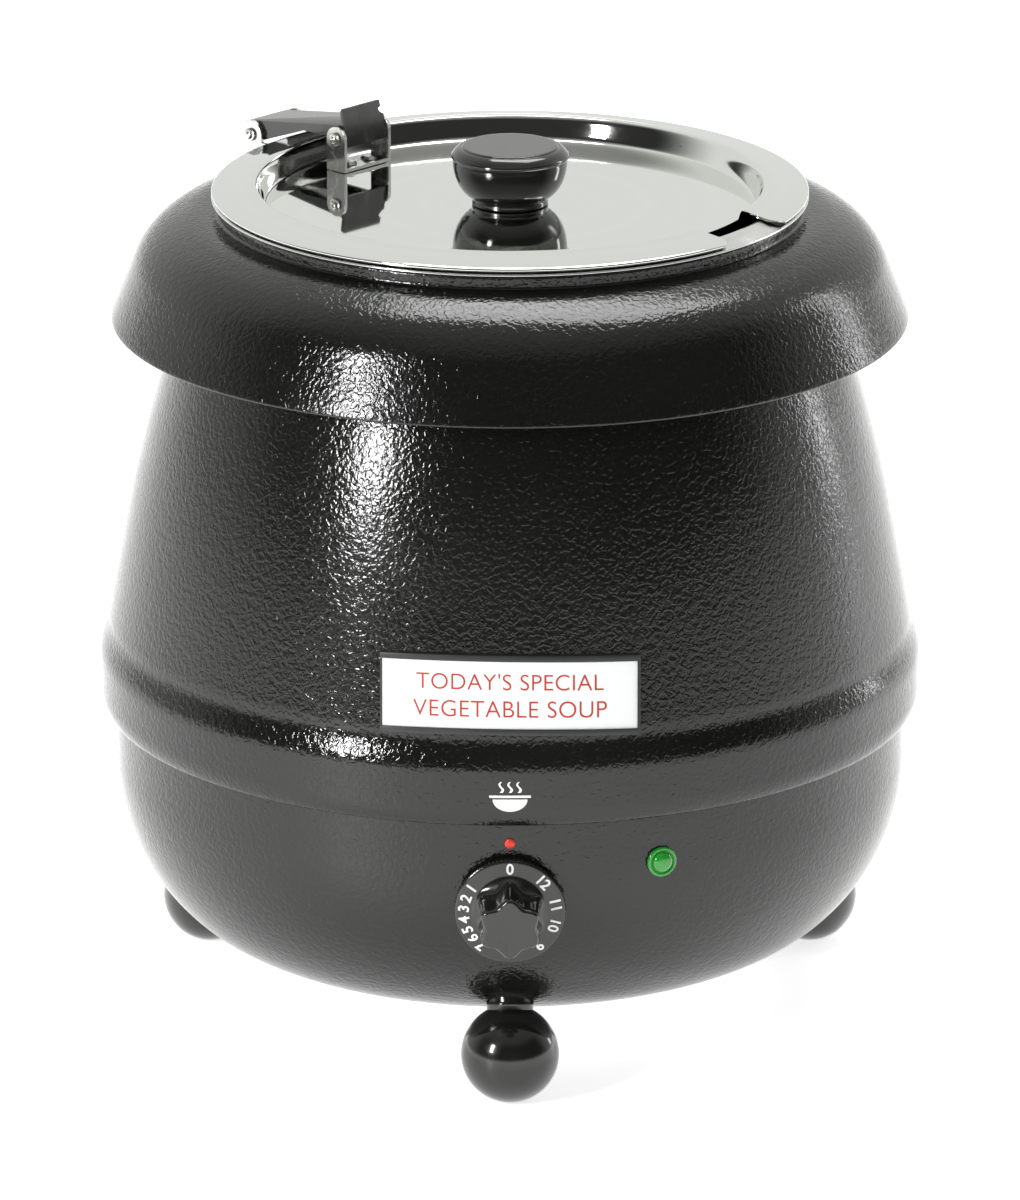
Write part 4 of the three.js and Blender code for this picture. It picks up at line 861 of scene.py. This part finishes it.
def dial_radius(r, z, angle):
    """Fine teeth round the skirt's rim; six hollows round the grip that fade out on the skirt and the face.

    The hollow's depth follows a power of the sine between two lobes, so that the lobes stay round."""
    teeth = 0.3 * (np.cos(DIAL_TEETH * angle) - 1) * ((r > 22) & (z < 3.2))
    grip = np.clip((z - 4.3) / 4.2, 0, 1) * np.clip(r / 11.0, 0, 1) ** 2
    grip = grip * grip * (3 - 2 * grip)
    hollow = np.abs(np.sin(3 * (angle - np.pi / 2))) ** 1.7
    return r + teeth - 2.5 * hollow * grip * (z > 4.3)


# ---- Feet -----------------------------------------------------------------------------------

FOOT_RADIUS = 20.3
FOOT_CENTRE = (BOWL_CENTRE[0] + 38, 19.5)
FOOT_TILT = 20.5
FOOT_NECK = 8.8
NECK_FLANGE = ((0.9, 15.5), (0.9, 19.4), (1.1, 20.0), (0.9, 20.6), (0.1, 20.9), (0, 21.3))  # wider by, along
NECK_SINK = 0.6  # of the neck's end into the bowl's wall


def ball_outline():
    """Half circle with a flat underneath, a fine raised seam at its equator."""
    centre = FOOT_CENTRE[1]
    start = -math.degrees(math.asin(centre / FOOT_RADIUS))
    rim = FOOT_RADIUS * math.cos(math.radians(start))
    path = chain([(0, 0), (rim, 0)], arc((0, centre), (FOOT_RADIUS, FOOT_RADIUS), start, 90, 90))
    seam = np.exp(-((path[:, 1] - centre) / 0.25) ** 2) * 0.12 * (path[:, 0] > 10)
    path[:, 0] = np.clip(path[:, 0] + seam, 0, None)
    path[-1, 0] = 0
    return path


def foot_neck(azimuth):
    """Lines along the neck's axis from inside the ball to where each one meets the bowl's wall.

    Each line's length solves the bowl's ellipse equation along it, halving the interval for all at once."""
    tilt = math.radians(FOOT_TILT)
    axis = np.array((-math.sin(tilt), 0, math.cos(tilt)))
    side = np.array((math.cos(tilt), 0, math.sin(tilt)))
    cross = np.array((0.0, 1.0, 0.0))
    centre = np.array((FOOT_CENTRE[0], 0, FOOT_CENTRE[1]))
    angle = np.linspace(0, 2 * np.pi, SMALL_ROUND, endpoint=False)
    ring = np.cos(angle)[:, None] * side + np.sin(angle)[:, None] * cross

    def outside(along):
        """Whether each line's point at that length is still outside the bowl."""
        point = centre + ring * FOOT_NECK + axis * along[:, None]
        r = (np.hypot(point[:, 0], point[:, 1]) - BOWL_CENTRE[0]) / (BOWL_CURVE[0] - NECK_SINK)
        z = (point[:, 2] - BOWL_CENTRE[1]) / (BOWL_CURVE[1] - NECK_SINK)
        return (r ** 2 + z ** 2 > 1) & (z < 0) | (point[:, 2] < BOWL_BOTTOM + NECK_SINK)

    near, far = np.full(SMALL_ROUND, 5.0), np.full(SMALL_ROUND, 60.0)
    for _ in range(40):
        half = (near + far) / 2
        out = outside(half)
        near, far = np.where(out, half, near), np.where(out, far, half)

    rows = [(FOOT_NECK + wider, np.full(SMALL_ROUND, along)) for wider, along in NECK_FLANGE]
    rows.append((FOOT_NECK, near))
    points = np.stack([centre + ring * radius + axis * along[:, None] for radius, along in rows])
    first, last = (np.broadcast_to(row.mean(axis=0), row.shape)[None] for row in (points[0], points[-1]))
    points = np.concatenate((first, points, last))
    patch = (points.reshape(-1, 3), grid_faces(len(points), SMALL_ROUND, False, True))
    return turned_to(Matrix.Rotation(math.radians(azimuth), 4, "Z"), patch)


# ---- Label ----------------------------------------------------------------------------------

LABEL_DEVELOPED = 900  # radius of the flattened cone at the label
RAIL_LIP = 2.5
CARD_BACK, CARD_FACE = 1.25, 1.75  # distances off the cone
CARD_MARGIN = 1.5  # from the holder's edge to the card's
LINE_PLACES = (5.3, -5.6)  # heights of the two lines of text over the label's middle
PRINT_LIFT = 0.03
LABEL_LEAN = math.tan(math.radians(0.7))  # the holder hangs a little lower on its right


def on_cone(x, height, out):
    """Point of the cone's front at a sideways place, a height and a distance off its surface.

    A straight strip laid on the cone drops by half its sideways place squared over the developed radius."""
    height = height - x * LABEL_LEAN - x ** 2 / (2 * LABEL_DEVELOPED)
    radius = cone_radius(height) + out
    return np.stack((x + 0 * radius, -np.sqrt(radius ** 2 - x ** 2), height + 0 * x), axis=-1)


def strip(section, start, end, stations=49):
    """A closed section of (distance off the cone, height) carried sideways along the cone's front."""
    x = np.linspace(start, end, stations)[:, None]
    return sweep(on_cone(x, section[:, 1][None, :], section[:, 0][None, :]))


def holder_section():
    """C-shaped channel: a back with a hooked rail above and below."""
    bottom, top = LABEL_LOW + 0.3, LABEL_HIGH - 0.3
    back, face, hook, lip = 0.35, 2.5, 1.95, bottom + RAIL_LIP
    rail = rounded([(back, bottom), (face, bottom), (face, lip), (hook, lip)], 0.35, 3)
    half = chain([(back, bottom)], rail, [(hook, bottom + 1.0), (1.1, bottom + 1.0)])
    other = np.column_stack((half[:, 0], top + bottom - half[:, 1]))[::-1]
    return np.vstack((half, other))


# ---- Operators ------------------------------------------------------------------------------

class KETTLE_OT_bowl(bpy.types.Operator):
    """Lower casing: the round-bottomed bowl"""

    bl_idname = "kettle.bowl"
    bl_label = "Bowl"

    def execute(self, context):
        wall = context.scene.kettle_sizes.sheet / MM
        piece("bowl", [revolve(bowl_outline(wall))], powder_coat(), "housing",
              ["bowl_shell"])
        return {"FINISHED"}


class KETTLE_OT_body(bpy.types.Operator):
    """Upper casing: the band and the cone above it"""

    bl_idname = "kettle.body"
    bl_label = "Body"

    def execute(self, context):
        wall = context.scene.kettle_sizes.sheet / MM
        piece("body", [revolve(body_outline(wall))], powder_coat(), "housing",
              ["body_shell"])
        return {"FINISHED"}


class KETTLE_OT_collar(bpy.types.Operator):
    """Collar that overhangs the cone"""

    bl_idname = "kettle.collar"
    bl_label = "Collar"

    def execute(self, context):
        wall = context.scene.kettle_sizes.sheet / MM
        piece("collar_ring", [revolve(collar_outline(wall))], powder_coat(), "housing",
              ["collar"])
        return {"FINISHED"}


class KETTLE_OT_insert(bpy.types.Operator):
    """Stainless insert pot"""

    bl_idname = "kettle.insert"
    bl_label = "Insert pot"

    def execute(self, context):
        wall = context.scene.kettle_sizes.stainless / MM
        made = piece("insert", [revolve(pot_outline(wall), closed=False)], drawn_steel(), "insert_pot",
                     ["insert_pot"])
        # Faces on the pot's outside below the collar take the darker steel, painted shade for the wall inside
        # the casing.
        made.data.materials.append(shade_painted_steel())
        middle = Vector((0, 0, (low("insert_pot") + MOUTH) / 2 * MM))
        for face in made.data.polygons:
            outside = face.normal.dot(face.center - middle) > 0 and face.center.z < COLLAR_TOP * MM
            face.material_index = int(outside)
        return {"FINISHED"}


class KETTLE_OT_lid(bpy.types.Operator):
    """Polished lid with its ladle slot"""

    bl_idname = "kettle.lid"
    bl_label = "Lid"

    def execute(self, context):
        piece("lid_sheet", lid_patches(), mirror_steel(), "lid", ["lid"])
        return {"FINISHED"}


class KETTLE_OT_lid_knob(bpy.types.Operator):
    """Phenolic knob on the lid"""

    bl_idname = "kettle.lid_knob"
    bl_label = "Lid knob"

    def execute(self, context):
        piece("lid_handle", [revolve(knob_outline(), SMALL_ROUND * 2, closed=False)], phenolic(), "lid",
              ["lid_knob"])
        return {"FINISHED"}


class KETTLE_OT_hinge(bpy.types.Operator):
    """Hinge: both brackets, the enamelled link and its pins"""

    bl_idname = "kettle.hinge"
    bl_label = "Hinge"

    def execute(self, context):
        softened("hinge_link", black_enamel(), "hinge_link")
        softened("lid_bracket", satin_steel(), "lid")
        softened("hinge_bracket", satin_steel(), "insert_pot")
        for node, body in (("hinge_pin_rear", "insert_pot"), ("hinge_pin_front", "lid")):
            self.pin(node, body)
        return {"FINISHED"}

    def pin(self, node, body):
        """Shouldered pin with a domed head outside each ear, lying across the hinge."""
        lo, hi = (np.array(corner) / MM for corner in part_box(node))
        centre = (lo + hi) / 2
        shank, shoulder = 2.0, 2.8
        end = 14.35  # of the shank, at the outside of the ear
        side = chain(
            [(shank, 0), (shank, end), (shoulder - 0.1, end), (shoulder, end + 0.1), (shoulder, end + 0.6)],
            [(shoulder - 0.2, end + 0.75), (1.75, end + 0.8)],
            bend((1.7, end + 1.4), (1.6, end + 2.0), (0, end + 2.1), 6),
        )
        outline = np.vstack(((side * (1, -1))[::-1][:-1], side[1:]))
        lying = Matrix.Rotation(math.radians(90), 4, "X")
        turn = Matrix.Rotation(math.radians(HINGE_AZIMUTH), 4, "Z")
        patches = turned_to(Matrix.Translation(centre) @ turn @ lying, revolve(outline, 32, closed=False))
        piece(node + "_finished", patches, satin_steel(), body, [node])


class KETTLE_OT_dial(bpy.types.Operator):
    """Temperature dial and its numerals"""

    bl_idname = "kettle.dial"
    bl_label = "Dial"

    def execute(self, context):
        sizes = context.scene.kettle_sizes
        place = dial_matrix()
        plastic = phenolic("dial_phenolic", (0.16, 0.3))
        knob = revolve(dial_outline(), DIAL_ROUND, closed=False, radius=dial_radius)
        piece("dial", turned_to(place, knob), plastic, "control_knob", ["control_knob"])
        marks = []
        for text, clockwise in NUMERALS.items():
            turn = Matrix.Rotation(-math.radians(clockwise), 4, "Z")
            slope = Matrix.Translation(NUMERAL_RING) @ Matrix.Rotation(-math.radians(NUMERAL_SLOPE), 4, "X")
            digits = lettering(text, sizes.numeral_height / MM, 0.022, 0.14)
            marks += turned_to(place @ turn @ slope, digits)
        piece("dial_numerals", marks, ink("white_ink", (0.8, 0.8, 0.78)), "control_knob")
        return {"FINISHED"}


class KETTLE_OT_lamp(bpy.types.Operator):
    """Green pilot lamp and the red index dot"""

    bl_idname = "kettle.lamp"
    bl_label = "Pilot lamp and index"

    def execute(self, context):
        seat = BOWL_RADIUS + 0.25
        cap = chain(
            [(0, seat - 5), (5, seat - 5), (5, seat), (6.2, seat)],
            bend((6.2, seat), (6.35, seat + 0.1), (6.3, seat + 1.0), 3),
            bend((6.3, seat + 1.0), (6.2, seat + 1.7), (5.5, seat + 1.7), 5),
            bend((5.5, seat + 1.7), (4.9, seat + 1.7), (4.75, seat + 1.1), 4),
            bend((4.75, seat + 1.1), (4.5, seat + 0.9), (4.3, seat + 1.3), 4),
            bend((4.3, seat + 1.3), (4.1, seat + 3.3), (0, seat + 3.5), 12),
        )
        turned = revolve(cap, SMALL_ROUND, closed=False)
        piece("lamp_cap", turned_to(facing(LAMP_AZIMUTH, LAMP_HEIGHT), turned), lamp_plastic(), "housing",
              ["pilot_lens"])
        dome = bend((2.2, seat), (2.2, seat + 0.9), (0, seat + 1.0), 10)
        dot = chain([(0, seat - 0.1), (2.1, seat - 0.1)], dome)
        piece("index_point", turned_to(facing(-90, INDEX_HEIGHT), revolve(dot, 48, closed=False)),
              index_plastic(), "housing", ["index_dot"])
        return {"FINISHED"}


class KETTLE_OT_label(bpy.types.Operator):
    """Label holder, its card and the generic text on it"""

    bl_idname = "kettle.label"
    bl_label = "Label"

    def execute(self, context):
        sizes = context.scene.kettle_sizes
        foot, head = LABEL_LOW + 0.35, LABEL_HIGH - 0.35
        stop = np.array([(0.35, foot), (2.45, foot), (2.45, head), (0.35, head)])
        patches = [strip(holder_section(), -LABEL_HALF - 1, LABEL_HALF + 0.2),
                   strip(stop, LABEL_HALF + 0.2, LABEL_HALF + 1.3, 3)]
        piece("holder", patches, dark_trim(), "housing", ["label_holder"])
        foot, head = LABEL_LOW + CARD_MARGIN, LABEL_HIGH - CARD_MARGIN
        card = np.array([(CARD_BACK, foot), (CARD_FACE, foot), (CARD_FACE, head), (CARD_BACK, head)])
        piece("card", [strip(card, -LABEL_HALF, LABEL_HALF)], card_paper(), "housing",
              ["label_card"])
        middle = (LABEL_LOW + LABEL_HIGH) / 2
        letters = []
        for text, rise in zip((sizes.first_line, sizes.second_line), LINE_PLACES):
            points, faces = lettering(text, sizes.letter_height / MM, -0.008, 0.1, 1.03)
            out = points[:, 2] + CARD_FACE + PRINT_LIFT
            letters.append((on_cone(points[:, 0], points[:, 1] + middle + rise, out), faces))
        piece("card_letters", letters, ink("red_ink", context.scene.kettle_colours.letters), "housing")
        return {"FINISHED"}


class KETTLE_OT_badge(bpy.types.Operator):
    """Printed pictogram on the band: a bowl with steam"""

    bl_idname = "kettle.badge"
    bl_label = "Pictogram"

    def execute(self, context):
        middle = (BAND_FOOT + CONE_FOOT - STEP_HEIGHT) / 2 + 1.5
        half_bowl, half_rim, bowl_depth = 7, 8.4, 5.2
        x = np.linspace(-half_bowl, half_bowl, 33)
        depth = bowl_depth * np.sqrt(np.clip(1 - (x / (half_bowl + 0.05)) ** 2, 0.02, 1))
        patches = [self.printed(x, np.full(33, middle), middle - depth)]
        x = np.linspace(-half_rim, half_rim, 33)
        patches.append(self.printed(x, np.full(33, middle + 1.7), np.full(33, middle + 0.7)))
        t = np.linspace(0, 1, 17)[:, None]
        for start in (-3.6, 0, 3.6):
            centre = start + 0.7 * np.sin(2 * np.pi * t)
            across = centre + np.array([[-0.5, 0.5, 0.5, -0.5]]) * (1.15 - 0.5 * t)
            patches.append(sweep(self.on_band(across, middle + 2.9 + 4.6 * t)))
        piece("pictogram", patches, ink("white_ink", (0.8, 0.8, 0.78)), "housing")
        return {"FINISHED"}

    def on_band(self, x, height):
        """Four points of print on the band's front, two near its surface and two at the print's face."""
        radius = BAND_RADIUS + np.array([[0.02, 0.02, 0.1, 0.1]]) + 0 * x
        return np.stack((x + 0 * radius, -np.sqrt(radius ** 2 - x ** 2), height + 0 * radius), axis=-1)

    def printed(self, x, top, bottom):
        """A shape between two heights at each sideways place, as thick as a coat of print."""
        height = np.stack((bottom, top, top, bottom), axis=-1)
        return sweep(self.on_band(x[:, None] + np.zeros((1, 4)), height))


class KETTLE_OT_feet(bpy.types.Operator):
    """Three ball feet with their necks"""

    bl_idname = "kettle.feet"
    bl_label = "Feet"

    def execute(self, context):
        for name, azimuth in FOOT_AZIMUTHS.items():
            out = Matrix.Rotation(math.radians(azimuth), 4, "Z") @ Matrix.Translation((FOOT_CENTRE[0], 0, 0))
            ball = turned_to(out, revolve(ball_outline(), SMALL_ROUND * 2, closed=False))
            piece(f"foot_{name}_ball", ball, phenolic(), "housing", [f"foot_{name}"])
            piece(f"foot_{name}_neck", foot_neck(azimuth), phenolic(), "housing",
                  [f"foot_{name}"])
        return {"FINISHED"}


class KETTLE_OT_gland(bpy.types.Operator):
    """Cord inlet at the back"""

    bl_idname = "kettle.gland"
    bl_label = "Cord inlet"

    def execute(self, context):
        seat, end = BOWL_RADIUS + 0.4, GLAND_END
        bore, thread, flange, dome = 4.2, 8, 11, 9.9
        outline = chain(
            [(bore, seat - 12), (thread, seat - 12), (thread, seat), (flange - 0.4, seat)],
            bend((flange - 0.4, seat), (flange, seat), (flange, seat + 0.5), 3),
            line((flange, seat + 0.5), (flange, seat + 4.4), 3),
            bend((flange, seat + 4.4), (flange, seat + 5), (flange - 0.8, seat + 5), 3),
            [(dome - 0.3, seat + 5.1)],
            bend((dome - 0.3, seat + 5.6), (dome, seat + 5.6), (dome, seat + 6.2), 3),
            line((dome, seat + 6.2), (dome - 0.1, seat + 13), 8),
            bend((dome - 0.1, seat + 13), (9.2, end - 0.4), (5.4, end), 10),
            [(bore, end - 0.4)],
        )

        def ribs(r, z, angle):
            """Small cosine ridges round the dome nut that fade at both of its ends."""
            share = np.clip((z - seat - 6.2) / 1.5, 0, 1) * np.clip((seat + 14 - z) / 2, 0, 1)
            return r + 0.28 * (np.cos(18 * angle) - 1) * share * (r > 9)

        turned = revolve(outline, 180, radius=ribs)
        plastic = phenolic("gland_plastic", (0.3, 0.42))
        piece("cord_gland", turned_to(facing(90, GLAND_HEIGHT), turned), plastic, "housing",
              ["cable_gland"])
        return {"FINISHED"}


class KETTLE_OT_inner_parts(bpy.types.Operator):
    """Finishes for the parts inside and below, which keep their CAD shape"""

    bl_idname = "kettle.inner_parts"
    bl_label = "Inner parts"

    def execute(self, context):
        finishes = {
            "support_ring": zinc, "base_plate": zinc, "water_pan": drawn_steel, "heat_spreader": aluminium,
            "heating_element": sheath, "clamp_plate": zinc, "clamp_nut": zinc, "thermal_cutout": ivory,
            "sensor_bulb": sheath, "terminal_block": ivory, "lead_inlet": sleeve, "lead_element": sleeve,
            "lead_thermostat": sleeve, "thermostat_shaft": zinc, "thermostat_body": ivory,
            "thermostat_nut": zinc, "pilot_lamp": ivory, "pilot_lamp_clip": zinc, "gland_nut": phenolic,
            "lid_knob_screw": zinc, "lid_knob_washer": satin_steel,
        }
        finishes.update({f"foot_bolt_{name}": zinc for name in FOOT_AZIMUTHS})
        for kind in ("casing_bracket", "casing_screw", "base_screw"):
            finishes.update({f"{kind}_{number}": zinc for number in (1, 2, 3)})
        finishes.update({f"lid_rivet_{number}": satin_steel for number in (1, 2)})
        for name, make in finishes.items():
            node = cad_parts[name]
            for holder in node.material_slots:
                holder.link = "OBJECT"
                holder.material = make()
        return {"FINISHED"}


CAMERA_DISTANCE = 3.79
CAMERA_PITCH = math.radians(18.05)
CAMERA_AIM = 0.170  # height of the point that it looks at
SOFT_BOXES = (  # name, place, aim, width, height, power
    ("key_light", (-1.36, -1.40, 0.87), (0, 0, 0.26), 0.24, 0.56, 26),
    ("side_light", (1.9, 0.9, 0.75), (0, 0, 0.2), 0.25, 1.3, 7),
    ("top_light", (0.25, 0.7, 2.4), (0, 0, 0.3), 1.6, 1.2, 40),
)
ROOM_GREYS = ((0.0, 0.9), (0.02, 0.85), (0.09, 0.03), (0.50, 0.03), (0.74, 0.3), (1.0, 0.55))  # by height
WALL_LIGHT = (0.78, 0.79, 0.77)


class KETTLE_OT_stage(bpy.types.Operator):
    """Pale floor, soft studio light and the camera"""

    bl_idname = "kettle.stage"
    bl_label = "Stage"

    def execute(self, context):
        scene = context.scene
        scene.view_settings.view_transform = "Standard"
        self.floor(scene)
        self.surroundings(scene)
        for values in SOFT_BOXES:
            self.soft_box(*values)
        lens = bpy.data.cameras.new("camera")
        lens.sensor_fit = "VERTICAL"
        lens.sensor_height = 36
        lens.lens = 270
        lens.clip_end = 100
        camera = bpy.data.objects.new("camera", lens)
        rise = CAMERA_DISTANCE * math.sin(CAMERA_PITCH)
        camera.location = (0, -CAMERA_DISTANCE * math.cos(CAMERA_PITCH), CAMERA_AIM + rise)
        camera.rotation_euler = Euler((math.pi / 2 - CAMERA_PITCH, 0, 0))
        scene.collection.objects.link(camera)
        scene.camera = camera
        return {"FINISHED"}

    def floor(self, scene):
        """Flat square, in a near-white finish that also glows a little so that it stays pale."""
        half = scene.kettle_sizes.floor / 2
        side = np.linspace(-half, half, 25)
        x, y = np.meshgrid(side, side)
        points = np.stack((x, y, 0 * x), axis=-1).reshape(-1, 3)
        mesh = bpy.data.meshes.new("floor")
        mesh.from_pydata(points.tolist(), [], grid_faces(25, 25, False, False).tolist())
        floor = bpy.data.objects.new("floor", mesh)
        scene.collection.objects.link(floor)
        paper = finish("floor_paper", (0.86, 0.87, 0.86), (0.9, 0.9, 0.9), (0.5, 0.6), "fine_grain",
                       {"Scale": 60}, 0.02 * MM, marks=2,
                       sockets={"Emission Color": (1, 1, 1, 1), "Emission Strength": 0.75})
        mesh.materials.append(paper)

    def surroundings(self, scene):
        """White seen directly; for light and reflections, a bright wall behind and a dark room in front."""
        world = bpy.data.worlds.new("studio")
        world.use_nodes = True
        scene.world = world
        tree = world.node_tree
        tree.nodes.clear()
        place = tree.nodes.new("ShaderNodeTexCoord")
        split = tree.nodes.new("ShaderNodeSeparateXYZ")
        tree.links.new(place.outputs["Generated"], split.inputs[0])
        ramp = tree.nodes.new("ShaderNodeValToRGB")
        ramp.color_ramp.interpolation = "EASE"
        for position, _ in ROOM_GREYS[1:-1]:
            ramp.color_ramp.elements.new(position)
        for element, (_, grey) in zip(ramp.color_ramp.elements, ROOM_GREYS):
            element.color = (grey, grey, grey * 0.98, 1)
        tree.links.new(split.outputs["Z"], ramp.inputs["Fac"])
        behind = tree.nodes.new("ShaderNodeMix")
        behind.data_type = "RGBA"
        behind.inputs["B"].default_value = (*WALL_LIGHT, 1)
        tree.links.new(ramp_node(tree, split.outputs["Y"], -0.3, 0.4), behind.inputs["Factor"])
        tree.links.new(ramp.outputs["Color"], behind.inputs["A"])
        around = tree.nodes.new("ShaderNodeBackground")
        tree.links.new(behind.outputs["Result"], around.inputs["Color"])
        seen = tree.nodes.new("ShaderNodeBackground")
        seen.inputs["Color"].default_value = (1, 1, 1, 1)
        either = tree.nodes.new("ShaderNodeMixShader")
        path = tree.nodes.new("ShaderNodeLightPath")
        tree.links.new(path.outputs["Is Camera Ray"], either.inputs["Fac"])
        tree.links.new(around.outputs[0], either.inputs[1])
        tree.links.new(seen.outputs[0], either.inputs[2])
        result = tree.nodes.new("ShaderNodeOutputWorld")
        tree.links.new(either.outputs[0], result.inputs["Surface"])

    def soft_box(self, name, place, aim, width, height, power):
        """Rectangular area light at a place, aimed at a point."""
        lamp = bpy.data.lights.new(name, "AREA")
        lamp.shape = "RECTANGLE"
        lamp.size = width
        lamp.size_y = height
        lamp.energy = power
        light = bpy.data.objects.new(name, lamp)
        light.location = place
        light.rotation_euler = (Vector(aim) - Vector(place)).to_track_quat("-Z", "Y").to_euler()
        bpy.context.scene.collection.objects.link(light)


OPERATORS = (KETTLE_OT_bowl, KETTLE_OT_body, KETTLE_OT_collar, KETTLE_OT_insert, KETTLE_OT_lid,
             KETTLE_OT_lid_knob, KETTLE_OT_hinge, KETTLE_OT_dial, KETTLE_OT_lamp, KETTLE_OT_label,
             KETTLE_OT_badge, KETTLE_OT_feet, KETTLE_OT_gland, KETTLE_OT_inner_parts, KETTLE_OT_stage)


class KETTLE_PT_panel(bpy.types.Panel):
    """Lists the kettle's sizes, colours and pieces"""

    bl_idname = "KETTLE_PT_panel"
    bl_label = "Soup Kettle"
    bl_space_type = "VIEW_3D"
    bl_region_type = "UI"
    bl_category = "Kettle"

    def draw(self, context):
        for group in (context.scene.kettle_sizes, context.scene.kettle_colours):
            box = self.layout.box()
            for name in group.__annotations__:
                box.prop(group, name)
        for operator in OPERATORS:
            self.layout.operator(operator.bl_idname)


CLASSES = (KettleSizes, KettleColours, *OPERATORS, KETTLE_PT_panel)


def register():
    """Registers the classes and gives every scene the sizes and colours."""
    for cls in CLASSES:
        bpy.utils.register_class(cls)
    bpy.types.Scene.kettle_sizes = bpy.props.PointerProperty(type=KettleSizes)
    bpy.types.Scene.kettle_colours = bpy.props.PointerProperty(type=KettleColours)


def unregister():
    """Takes the sizes, colours and classes away again."""
    del bpy.types.Scene.kettle_colours
    del bpy.types.Scene.kettle_sizes
    for cls in reversed(CLASSES):
        bpy.utils.unregister_class(cls)


def main():
    """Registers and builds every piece."""
    register()
    for operator in OPERATORS:
        category, name = operator.bl_idname.split(".")
        getattr(getattr(bpy.ops, category), name)()


if __name__ == "__main__":
    main()
